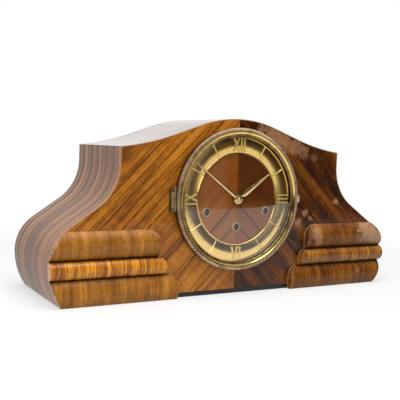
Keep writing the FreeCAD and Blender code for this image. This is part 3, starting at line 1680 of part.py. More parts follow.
def hammer_frame():
    """Build the hammers' pin and the rear bar that holds it and the drum's arbor."""
    x, z = hammer_pivot()
    post_x, post_z = frame_post()
    drum_x, drum_z = SIDE_WHEELS["chime"]
    y_from = frame_inside.value
    y_to = y_from + s.frame_sheet.value
    pin = post(s.hammer_pin_radius.value, rear_plate.value, y_to, x, z)
    pillar = post(s.frame_post_radius.value, rear_plate.value, y_to, post_x, post_z)
    tenon = post(s.pillar_tenon.value, rear_inside.value, rear_plate.value, post_x, post_z)
    bars = []
    corners = [(drum_x, drum_z), (x, z), (post_x, post_z)]
    for start, end in zip(corners, corners[1:] + corners[:1]):
        first = FreeCAD.Vector(start[0], 0, start[1])
        last = FreeCAD.Vector(end[0], 0, end[1])
        bars.append(stroke(first, last, 2 * s.frame_post_radius.value, y_from, y_to))
    pin_foot = rear_plate.value + s.frame_sheet.value
    bars.append(stroke(FreeCAD.Vector(x, 0, z), FreeCAD.Vector(post_x, 0, post_z),
                       2 * s.frame_post_radius.value, rear_plate.value, pin_foot))
    bosses = [post(s.frame_boss_radius.value, y_from, y_to, *spot) for spot in corners]
    bosses.append(post(s.frame_boss_radius.value, rear_plate.value, pin_foot, x, z))
    solid = bars[0].fuse(bars[1:] + bosses + [pin, pillar, tenon])
    bore = post(s.pivot_radius.value + s.running_gap.value, y_from, y_to, drum_x, drum_z)
    finish(shaped("frame_solid", solid.cut(bore)), "hammer_frame")


def chime_rods():
    """Build the cast block on the base and the five rods that stand out of it."""
    rods = []
    seats = []
    for index in range(HAMMER_COUNT):
        y = first_rod_y + index * s.rod_spacing
        rods.append(rod("chime_rod_%d" % index, s.rod_radius, -s.rod_end_x,
                        s.block_x + s.block_length / 2, y=y, z=rod_height, axis="X"))
        seats.append(rod("rod_seat_%d" % index, s.rod_radius, s.block_x,
                         s.block_x + s.block_length / 2, y=y, z=rod_height, axis="X"))
    cast = block("cast_block", s.block_x, s.block_x + s.block_length,
                 first_rod_y - s.block_margin, last_rod_y + s.block_margin, s.base_thickness,
                 rod_height + s.block_top)
    finish(cut("block_solid", cast, *seats), "chime_block")
    finish(group("rod_group", *rods), "chime_rods")


def build():
    """Build every piece of the clock."""
    case_walls()
    case_boards()
    mouldings()
    hour_markers(chapter_ring())
    grommets()
    silent_lever()
    bezel_hinge_leaf()
    bezel_ring()
    bezel_glass()
    movement_plates()
    pillars()
    brackets()
    wood_screws()
    hands()
    motion_work()
    going_train()
    anchor()
    pendulum()
    barrels()
    winding_arbors()
    clicks()
    side_trains()
    chime_drum()
    hammers()
    hammer_frame()
    chime_rods()
    back_door()


def check_document():
    """Stop if any object failed or any piece has no valid shape."""
    failed = [item.Name for item in doc.Objects
              if "Invalid" in item.State or "Error" in item.State]
    if failed:
        raise RuntimeError("objects that failed: %s" % failed)
    for piece in pieces:
        if piece.Shape.isNull() or not piece.Shape.isValid() or not piece.Shape.Solids:
            raise RuntimeError("%s has no valid solid" % piece.Label)


def write_pieces():
    """Write each piece to its own file."""
    os.makedirs("parts", exist_ok=True)
    for piece in pieces:
        piece.Shape.exportStep("parts/%s.step" % piece.Label)
        bounds = piece.Shape.BoundBox
        print("%-24s %2d solids %11.1f mm3  x %.1f %.1f  y %.1f %.1f  z %.1f %.1f" % (
            piece.Label, len(piece.Shape.Solids), piece.Shape.Volume, bounds.XMin, bounds.XMax,
            bounds.YMin, bounds.YMax, bounds.ZMin, bounds.ZMax))


build()
doc.recompute()
check_document()
write_pieces()
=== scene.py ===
"""Looks of the tambour mantel clock: finishes for the solid nodes and finer visible pieces."""

import logging
import math
from collections.abc import Iterable
from dataclasses import dataclass, field, replace
from enum import Enum
from functools import partial, reduce

import bmesh
import bpy
from mathutils import Matrix, Vector


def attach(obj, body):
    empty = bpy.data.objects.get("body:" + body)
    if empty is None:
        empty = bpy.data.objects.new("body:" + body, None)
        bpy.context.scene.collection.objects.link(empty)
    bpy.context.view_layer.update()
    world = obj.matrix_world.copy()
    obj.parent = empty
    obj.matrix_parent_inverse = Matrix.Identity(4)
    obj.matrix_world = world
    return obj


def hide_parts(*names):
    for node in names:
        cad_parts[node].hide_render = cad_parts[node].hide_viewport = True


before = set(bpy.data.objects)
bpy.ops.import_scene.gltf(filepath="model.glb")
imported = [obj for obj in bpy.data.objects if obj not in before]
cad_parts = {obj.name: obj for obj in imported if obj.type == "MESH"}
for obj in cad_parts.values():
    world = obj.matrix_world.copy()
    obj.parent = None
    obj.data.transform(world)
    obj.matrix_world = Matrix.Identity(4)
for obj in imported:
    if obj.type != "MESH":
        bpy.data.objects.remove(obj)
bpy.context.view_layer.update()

LOG = logging.getLogger("mantel_clock")
MM = 0.001
DIAL_Z = 0.121
CRISP_ANGLE = 30.0
MERGE_REACH = 1e-7
# Heights of the joints between the mouldings, darkened there with painted shade
JOINT_LEVELS = (0.031, 0.053)

Material = bpy.types.Material
Piece = bpy.types.Object
Socket = bpy.types.NodeSocket
Value = float | Socket
Colour = tuple[float, float, float]
Place = tuple[float, float, float]
Span = tuple[float, float]
Faces = list[tuple[int, ...]]

WHITE: Colour = (1.0, 1.0, 1.0)


class Figure(Enum):
    """How the figure of a veneer runs over a piece."""

    CHEVRON = "chevron"
    LENGTHWISE = "lengthwise"
    CROSSWISE = "crosswise"
    PLAIN = "plain"


class NodeDesk:
    """Lays out one node tree with short calls."""

    def __init__(self, tree: bpy.types.NodeTree) -> None:
        """Keep the tree that the calls add to."""
        self.tree = tree

    def put(self, socket: Socket, value: object) -> None:
        """Set a socket to a plain value, or link another socket to it.

        Args:
            socket: The input to feed.
            value: A number, a tuple, a name or an output socket.
        """
        if isinstance(value, Socket):
            self.tree.links.new(value, socket)
        elif isinstance(value, tuple) and len(value) == 3 and socket.type == "RGBA":
            socket.default_value = (*value, 1.0)
        else:
            socket.default_value = value

    def node(self, kind: str, inputs: dict | None = None, **settings: object) -> bpy.types.Node:
        """Add a node.

        Args:
            kind: The node's type name.
            inputs: Values or sockets for its inputs, by name or number.
            settings: Its own options.

        Returns:
            The new node.
        """
        made = self.tree.nodes.new(kind)
        for name, value in settings.items():
            setattr(made, name, value)
        for name, value in (inputs or {}).items():
            self.put(made.inputs[name], value)
        return made

    def math(self, operation: str, first: Value, second: Value = 0.0) -> Socket:
        """Add a math node and return its socket."""
        return self.node("ShaderNodeMath", {0: first, 1: second}, operation=operation).outputs[0]

    def plus(self, first: Value, second: Value) -> Socket:
        """Add two values."""
        return self.math("ADD", first, second)

    def minus(self, first: Value, second: Value) -> Socket:
        """Take the second value from the first."""
        return self.math("SUBTRACT", first, second)

    def times(self, first: Value, *others: Value) -> Socket:
        """Multiply two values or more, in order."""
        return reduce(partial(self.math, "MULTIPLY"), others, first)

    def gap(self, first: Value, second: Value) -> Socket:
        """Measure how far two values are apart."""
        return self.math("ABSOLUTE", self.minus(first, second))

    def length(self, first: Value, second: Value) -> Socket:
        """Measure the long side over two square legs."""
        return self.math("SQRT", self.plus(self.times(first, first), self.times(second, second)))

    def ramp(self, factor: Value, stops: Iterable[tuple[float, Colour]]) -> Socket:
        """Add a colour ramp.

        Args:
            factor: What runs along the ramp.
            stops: Places and colours, in order.

        Returns:
            The colour's socket.
        """
        made = self.node("ShaderNodeValToRGB", {0: factor})
        elements = made.color_ramp.elements
        elements.remove(elements[1])
        for index, (place, colour) in enumerate(stops):
            element = elements.new(place) if index else elements[0]
            element.position = place
            element.color = (*colour, 1.0)
        return made.outputs[0]

    def step(self, factor: Value, low: float, high: float) -> Socket:
        """Rise smoothly from 0 at low to 1 at high, which lies below low for a fall."""
        return self.node("ShaderNodeMapRange", {0: factor, 1: low, 2: high},
                         interpolation_type="SMOOTHSTEP").outputs[0]

    def mix(self, factor: Value, first: Colour | Socket, second: Colour | Socket) -> Socket:
        """Mix two colours by the share of the second, and return the colour's socket."""
        return self.node("ShaderNodeMix", {0: factor, 6: first, 7: second},
                         data_type="RGBA").outputs[2]

    def vector(self, x: Value, y: Value, z: Value) -> Socket:
        """Join three numbers to a vector and return its socket."""
        return self.node("ShaderNodeCombineXYZ", {0: x, 1: y, 2: z}).outputs[0]

    def noise(self, vector: Socket, scale: float, layers: float, rough: float = 0.55) -> Socket:
        """Add a noise of this fineness, with finer layers of this strength."""
        return self.node("ShaderNodeTexNoise", {"Vector": vector, "Scale": scale,
                                                "Detail": layers, "Roughness": rough}).outputs[0]

    def place(self) -> tuple[Socket, ...]:
        """Return the sockets of x, y, z and the whole place on the object."""
        spot = self.node("ShaderNodeTexCoord").outputs["Object"]
        parts = self.node("ShaderNodeSeparateXYZ", {0: spot}).outputs
        return parts[0], parts[1], parts[2], spot

    def bump(self, height: Socket, strength: float, distance: float) -> Socket:
        """Turn a height into a normal, by how much of it shows and its depth in metres."""
        return self.node("ShaderNodeBump", {"Height": height, "Strength": strength,
                                            "Distance": distance}).outputs[0]

    def surface(self, inputs: dict[str, object]) -> None:
        """End the tree in one main shader with these inputs."""
        main_shader = self.node("ShaderNodeBsdfPrincipled", inputs)
        self.node("ShaderNodeOutputMaterial", {0: main_shader.outputs[0]})


def empty_tree(owner: bpy.types.ID) -> NodeDesk:
    """Clear the nodes of a material or a world, and return the desk of its tree."""
    owner.use_nodes = True
    owner.node_tree.nodes.clear()
    return NodeDesk(owner.node_tree)


def new_material(name: str) -> tuple[Material, NodeDesk]:
    """Make a material with an empty tree, and return it with its desk."""
    material = bpy.data.materials.new(name)
    return material, empty_tree(material)


@dataclass(frozen=True)
class DialWood:
    """The front panel's wood inside the chapter ring, and the panel's bare back.

    A span is where something starts to show and where it is full, in metres. A V line is the
    height at which its arms meet, and half its width. Below the centre the paler colours are
    partly the wood's warmer tone and partly a painted reflection of the floor in the glass.
    """

    strength: float = 0.8
    rim: Span = (0.075, 0.07)
    seam: Span = (-0.003, 0.003)
    # Where the darker tone above gives way to the paler tone and painted reflection below
    level: Span = (-0.022, 0.004)
    calm_left: Colour = (0.3, 0.082, 0.007)
    calm_right: Colour = (0.14, 0.034, 0.001)
    # Below the centre: partly the wood's warmer tone, partly painted reflection of the floor in
    # the glass
    pale_and_reflected_left: Colour = (0.36, 0.13, 0.03)
    pale_and_reflected_right: Colour = (0.33, 0.115, 0.026)
    v_lines: tuple[Span, ...] = ((DIAL_Z - 0.004, 0.0042), (DIAL_Z - 0.031, 0.0022))
    v_core: float = 0.15
    v_colour: Colour = (0.07, 0.028, 0.009)
    back: Span = (-0.0672, -0.0666)
    bare: tuple[tuple[float, Colour], ...] = ((0.3, (0.1, 0.05, 0.022)),
                                              (0.7, (0.17, 0.095, 0.045)))


@dataclass(frozen=True)
class MouldingEnd:
    """The rounded corner at a moulding's inner end, with painted shade on its end face, a
    painted highlight along its front edge, and its glue line.

    The side is -1 at the left and 1 at the right. The places are in metres.
    """

    side: float
    inner: float
    top: float
    corner: float
    line: Span = (0.0019, 0.0008)
    start: Span = (0.001, 0.006)
    turned_away: Span = (0.35, 0.1)
    # Where the painted highlight along the front edge shows, and how strong it is
    highlight_facing: Span = (0.15, 0.5)
    highlight_ragged: Span = (0.4, 0.56)
    highlight_strength: float = 0.35
    shade: Colour = (0.03, 0.012, 0.004)
    shade_strength: float = 0.4
    glue: Colour = (0.36, 0.26, 0.17)
    glue_depth: Span = (-0.0729, -0.0714)
    glue_ragged: Span = (0.34, 0.48)
    glue_strength: float = 0.9


@dataclass(frozen=True)
class VeneerFinish:
    """Lacquered veneer with its figure, pores, dark streaks and worn places.

    The stops are where dark, middle and light lie in the figure's tone. A streak is its place
    across the figure, half its width and its strength. A worn place is its x, its z, its reach
    and its strength. The edge is the depth of a pale front edge.
    """

    figure: Figure
    dark: Colour
    middle: Colour
    light: Colour
    # Second, darker colours: pores and streaks take the darkest; a chevron's right leaf takes
    # all three, a painted sheen for the book-matched leaves
    second_dark: Colour = (0.026, 0.007, 0.001)
    second_middle: Colour = (0.11, 0.026, 0.001)
    second_light: Colour = (0.24, 0.072, 0.005)
    stops: tuple[float, float, float] = (0.4, 0.5, 0.59)
    roughness: float = 0.3
    coat: float = 0.5
    coat_roughness: float = 0.08
    specular: float = 0.25
    broad: float = 40.0
    fine: float = 330.0
    bend: float = 0.008
    curl: float = 0.0
    stretch: float = 1.0
    flame_share: float = 0.16
    line_share: float = 0.24
    pore_strength: float = 0.45
    streaks: tuple[tuple[float, float, float], ...] = ()
    worn: tuple[tuple[float, float, float, float], ...] = ()
    worn_colour: Colour = (0.42, 0.21, 0.1)
    chips: float = 0.0
    # Heights of the joints that painted shade darkens
    joints: tuple[float, ...] = ()
    edge: float | None = None
    edge_colour: Colour = (0.5, 0.28, 0.13)
    dial: DialWood | None = None
    end: MouldingEnd | None = None
    name: str = ""

    def build(self) -> Material:
        """Build the material and return it."""
        material, desk = new_material(self.name)
        work = VeneerWork(self, desk)
        work.lay_figure()
        work.draw_pores_and_streaks()
        work.rub()
        if self.dial:
            work.bare_back()
        if self.chips:
            work.chip()
        work.shade_joints()
        if self.dial:
            work.tone_dial()
        if self.end:
            work.trim_end()
        if self.edge is not None:
            work.pale_edge()
        desk.surface({"Base Color": work.colour, "Roughness": self.roughness,
                      "Coat Weight": self.coat, "Coat Roughness": self.coat_roughness,
                      "Specular IOR Level": self.specular,
                      "Normal": desk.bump(work.pores, *work.pore_relief)})
        return material


class VeneerWork:
    """Builds the wood of one veneer, layer over layer."""

    # Each noise: how fine it is, how many finer layers it has and how strong these are
    wave_noise = (9.0, 2.0)
    curl_noise = (75.0, 2.0)
    flame_noise = (60.0, 3.0, 0.6)
    pore_noise = (900.0, 2.0, 0.6)
    ragged_noise = (140.0, 6.0, 0.75)
    speckle_noise = (620.0, 4.0, 0.7)
    scuff_noise = (190.0, 5.0, 0.7)
    chip_noise = (420.0, 2.0, 0.5)
    band_layers = (3.0, 0.5)
    line_layers = (2.0, 0.6)

    # How much of the place across or along the figure each noise takes
    wave_across, wave_along = 0.6, 0.8
    curl_across, flame_across = 0.5, 0.35
    band_run, line_run, pore_run, scuff_run = 0.09, 0.03, 0.22, 0.35
    leaf_shift, scuff_shift = 0.37, 0.2

    # Spans: where something starts to show and where it is full
    leaf_span = (-0.1, 0.1)
    pore_span = (0.52, 0.66)
    streak_span = (0.36, 0.5)
    speckle_span = (0.28, 0.46)
    chip_span, chip_side, chip_ragged = (0.64, 0.7), (0.03, 0.13), (0.44, 0.54)
    joint_span = (0.0024, 0.0007)
    edge_span, edge_ragged = (0.0014, 0.0004), (0.3, 0.5)

    streak_core = 0.2
    scuff_middle, scuff_reach = 0.5, 2.6
    worn_outside, worn_inside = 0.95, 0.35
    # How strong the painted shade in the joints is, and its colour
    joint_strength, joint_dirt = 0.85, (0.02, 0.008, 0.002)
    pore_relief = (0.25, 0.0004)

    def __init__(self, finish: VeneerFinish, desk: NodeDesk) -> None:
        """Measure the surface.

        Args:
            finish: The veneer's finish.
            desk: The desk of the material's tree.
        """
        self.finish, self.desk = finish, desk
        self.x, self.y, self.z, spot = desk.place()
        self.ragged = desk.noise(spot, *self.ragged_noise)
        self.speckle = desk.noise(spot, *self.speckle_noise)
        self.along_grain = desk.vector(
            desk.plus(self.z, self.x),
            desk.times(desk.minus(self.z, self.x), self.scuff_run), self.scuff_shift)

    def paint(self, share: Value, colour: Colour | Socket) -> None:
        """Cover a share of what is there with a colour."""
        self.colour = self.desk.mix(share, self.colour, colour)

    def across_and_along(self) -> tuple[Value, Value, Value]:
        """Return the place across the figure, along it, and a number for the leaf."""
        desk, x, y, z = self.desk, self.x, self.y, self.z
        if self.finish.figure is Figure.CHEVRON:
            side = desk.math("ABSOLUTE", x)
            return desk.plus(z, side), desk.minus(z, side), desk.math("SIGN", x)
        if self.finish.figure is Figure.LENGTHWISE:
            return y, desk.plus(x, z), 1.0
        if self.finish.figure is Figure.CROSSWISE:
            return x, z, desk.math("SIGN", x)
        return z, x, desk.math("SIGN", y)

    def lay_figure(self) -> None:
        """Lay the bands, the fine lines and the flames in the leaf's three colours."""
        finish, desk = self.finish, self.desk
        across, along, leaf = self.across_and_along()
        shift = desk.times(leaf, self.leaf_shift)
        wavy = desk.noise(desk.vector(desk.times(across, self.wave_across),
                                      desk.times(along, self.wave_along), shift),
                          *self.wave_noise)
        bent = desk.plus(across, desk.times(wavy, finish.bend))
        if finish.curl:
            curly = desk.noise(desk.vector(desk.times(across, self.curl_across), along, shift),
                               *self.curl_noise)
            bent = desk.plus(bent, desk.times(curly, finish.curl))

        def drawn(run: float, *noise: float) -> Socket:
            """Return a noise that is drawn out along the figure."""
            return desk.noise(desk.vector(bent, desk.times(along, run), shift), *noise)

        bands = drawn(self.band_run / finish.stretch, finish.broad, *self.band_layers)
        lines = drawn(self.line_run / finish.stretch, finish.fine, *self.line_layers)
        self.bent, self.pores = bent, drawn(self.pore_run, *self.pore_noise)
        self.flame = desk.noise(desk.vector(desk.times(across, self.flame_across), along, shift),
                                *self.flame_noise)
        band_share = 1.0 - finish.flame_share - finish.line_share
        tone = desk.plus(desk.times(bands, band_share),
                         desk.plus(desk.times(lines, finish.line_share),
                                   desk.times(self.flame, finish.flame_share)))
        self.colour = desk.ramp(tone, zip(finish.stops,
                                          (finish.dark, finish.middle, finish.light)))
        # The right leaf in the second colours: the book-matched leaves' different sheen, painted
        # into the colour
        if finish.figure is Figure.CHEVRON:
            right_leaf_sheen = desk.ramp(tone, zip(finish.stops, (finish.second_dark, finish.second_middle,
                                                       finish.second_light)))
            self.paint(desk.step(leaf, *self.leaf_span), right_leaf_sheen)

    def draw_pores_and_streaks(self) -> None:
        """Darken the pores, and draw the broken dark streaks."""
        finish, desk = self.finish, self.desk
        self.paint(desk.times(desk.step(self.pores, *self.pore_span), finish.pore_strength),
                   finish.second_dark)
        broken = desk.step(self.flame, *self.streak_span)
        for place, width, strength in finish.streaks:
            line = desk.step(desk.gap(self.bent, place + finish.bend / 2),
                             width, width * self.streak_core)
            self.paint(desk.times(line, desk.times(broken, strength)), finish.second_dark)

    def rub(self) -> None:
        """Pale the places where the lacquer is rubbed off, ragged along the grain."""
        finish, desk = self.finish, self.desk
        scuffed = self.ragged
        if finish.figure is Figure.CHEVRON:
            scuffed = desk.noise(self.along_grain, *self.scuff_noise)
        speckled = desk.step(self.speckle, *self.speckle_span)
        for x, z, reach, strength in finish.worn:
            away = desk.plus(
                desk.length(desk.minus(self.x, x), desk.minus(self.z, z)),
                desk.times(desk.minus(scuffed, self.scuff_middle), reach * self.scuff_reach))
            patch = desk.step(away, reach * self.worn_outside, reach * self.worn_inside)
            self.paint(desk.times(patch, desk.times(speckled, strength)), finish.worn_colour)

    def bare_back(self) -> None:
        """Leave the back of the front panel as plain board."""
        dial = self.finish.dial
        self.paint(self.desk.step(self.y, *dial.back), self.desk.ramp(self.ragged, dial.bare))

    def chip(self) -> None:
        """Scatter small pale chips over the right half."""
        desk = self.desk
        chips = desk.step(desk.noise(self.along_grain, *self.chip_noise), *self.chip_span)
        self.paint(desk.times(chips, desk.step(self.x, *self.chip_side),
                              desk.step(self.ragged, *self.chip_ragged), self.finish.chips),
                   self.finish.worn_colour)

    def shade_joints(self) -> None:
        """Darken the joints between the mouldings with painted shade."""
        for level in self.finish.joints:
            dirt = self.desk.step(self.desk.gap(self.z, level), *self.joint_span)
            self.paint(self.desk.times(dirt, self.joint_strength), self.joint_dirt)

    def tone_dial(self) -> None:
        """Darken and redden the wood above the dial's centre; pale it below, partly as painted
        reflection of the floor in the glass; and draw the V lines there.
        """
        dial, desk = self.finish.dial, self.desk
        height = desk.minus(self.z, DIAL_Z)
        inside = desk.times(desk.step(desk.length(self.x, height), *dial.rim), dial.strength)
        right = desk.step(self.x, *dial.seam)
        upper = desk.times(desk.step(height, *dial.level), inside)
        lower = desk.minus(inside, upper)
        self.paint(upper, desk.mix(right, dial.calm_left, dial.calm_right))
        # Below the centre: paler wood, partly painted reflection of the floor in the glass
        self.paint(lower, desk.mix(right, dial.pale_and_reflected_left, dial.pale_and_reflected_right))
        arms = desk.plus(self.z, desk.math("ABSOLUTE", self.x))
        for place, width in dial.v_lines:
            line = desk.step(desk.gap(arms, place), width, width * dial.v_core)
            self.paint(desk.times(line, lower), dial.v_colour)

    def trim_end(self) -> None:
        """Paint shade on the moulding's inner end, paint a highlight along its front edge, and
        draw its glue line.
        """
        end, desk = self.finish.end, self.desk
        reach_x = desk.minus(end.corner + end.inner, desk.times(self.x, end.side))
        reach_z = desk.minus(self.z, end.top - end.corner)
        depth = desk.minus(end.corner, desk.length(desk.math("MAXIMUM", reach_x),
                                                   desk.math("MAXIMUM", reach_z)))
        normal = desk.node("ShaderNodeTexCoord").outputs["Normal"]
        ahead = desk.times(desk.node("ShaderNodeSeparateXYZ", {0: normal}).outputs[1], -1.0)
        line = desk.times(desk.step(depth, *end.line), desk.step(reach_x, *end.start))
        # Painted shade on the end face, where it turns away from the front
        away = desk.step(ahead, *end.turned_away)
        self.paint(desk.times(line, away, end.shade_strength), end.shade)
        # Painted highlight along the end's front edge, in the edge colour
        front = desk.times(desk.step(ahead, *end.highlight_facing),
                           desk.step(self.ragged, *end.highlight_ragged))
        self.paint(desk.times(line, front, end.highlight_strength), self.finish.edge_colour)
        glue = desk.times(desk.step(self.y, *end.glue_depth),
                          desk.step(self.ragged, *end.glue_ragged))
        self.paint(desk.times(line, glue, end.glue_strength), end.glue)

    def pale_edge(self) -> None:
        """Pale the front edge of the wall."""
        start, full = self.edge_span
        rim = self.desk.step(self.y, self.finish.edge + start, self.finish.edge + full)
        self.paint(self.desk.times(rim, self.desk.step(self.ragged, *self.edge_ragged)),
                   self.finish.edge_colour)


@dataclass(frozen=True)
class MetalFinish:
    """Metal with a tint, a fine brushed or worn grain and darker tarnish, and where asked
    near-black painted shade behind a depth.
    """

    bright: Colour
    tarnish: Colour
    roughness: float = 0.25
    tarnish_share: float = 0.4
    spots: float = 120.0
    grain: float = 900.0
    brushed: float = 1.0
    relief: float = 0.15
    metallic: float = 1.0
    shade_behind: float | None = None
    name: str = ""

    cloud_layers = (6.0, 0.65)
    grain_layers = 2.0
    dirt_start, dirt_start_fall = 0.62, 0.4
    dirt_full, dirt_full_fall = 0.78, 0.3
    dirt_strength = 0.8
    # How far the painted shade takes to come in, and its colour
    dark_reach, dark_colour = 0.0006, (0.012, 0.011, 0.01)
    relief_depth = 0.0001

    def build(self) -> Material:
        """Build the material and return it."""
        material, desk = new_material(self.name)
        _, y, _, spot = desk.place()
        cloud = desk.noise(spot, self.spots, *self.cloud_layers)
        pulled = desk.node("ShaderNodeVectorMath", {0: spot, 1: (self.brushed, 1.0, 1.0)},
                           operation="MULTIPLY").outputs[0]
        fine = desk.noise(pulled, self.grain, self.grain_layers)
        dirt = desk.step(cloud, self.dirt_start - self.tarnish_share * self.dirt_start_fall,
                         self.dirt_full - self.tarnish_share * self.dirt_full_fall)
        colour = desk.mix(desk.times(dirt, self.dirt_strength), self.bright, self.tarnish)
        # Painted shade: near black behind the given depth, as inside the winding holes
        if self.shade_behind is not None:
            in_shade = desk.step(y, self.shade_behind, self.shade_behind + self.dark_reach)
            colour = desk.mix(in_shade, colour, self.dark_colour)
        desk.surface({"Base Color": colour, "Metallic": self.metallic,
                      "Roughness": self.roughness,
                      "Normal": desk.bump(fine, self.relief, self.relief_depth)})
        return material


@dataclass(frozen=True)
class PaintFinish:
    """Paint or bare metal: a soft cloud of two close colours."""

    colour: Colour
    shade: Colour
    roughness: float = 0.6
    scale: float = 60.0
    name: str = ""

    cloud_layers = (5.0, 0.6)
    shade_stop, colour_stop = 0.35, 0.65
    relief = (0.2, 0.0003)

    def build(self) -> Material:
        """Build the material and return it."""
        material, desk = new_material(self.name)
        cloud = desk.noise(desk.place()[3], self.scale, *self.cloud_layers)
        colour = desk.ramp(cloud, [(self.shade_stop, self.shade),
                                   (self.colour_stop, self.colour)])
        desk.surface({"Base Color": colour, "Roughness": self.roughness,
                      "Normal": desk.bump(cloud, *self.relief)})
        return material


@dataclass(frozen=True)
class GlassFinish:
    """Clear domed glass that mirrors on its outer faces."""

    tint: Colour = (0.985, 0.98, 0.97)
    roughness: float = 0.02
    refraction: float = 1.45
    mirror: float = 2.05
    name: str = ""

    def build(self) -> Material:
        """Build the material and return it."""
        material, desk = new_material(self.name)
        clear = desk.node("ShaderNodeBsdfTransparent", {0: self.tint})
        gloss = desk.node("ShaderNodeBsdfGlossy", {"Color": WHITE, "Roughness": self.roughness})
        outside = desk.minus(1.0, desk.node("ShaderNodeNewGeometry").outputs["Backfacing"])
        fresnel = desk.node("ShaderNodeFresnel", {"IOR": self.refraction}).outputs[0]
        share = desk.times(fresnel, desk.times(outside, self.mirror))
        both = desk.node("ShaderNodeMixShader", {0: share, 1: clear.outputs[0],
                                                 2: gloss.outputs[0]})
        desk.node("ShaderNodeOutputMaterial", {0: both.outputs[0]})
        return material


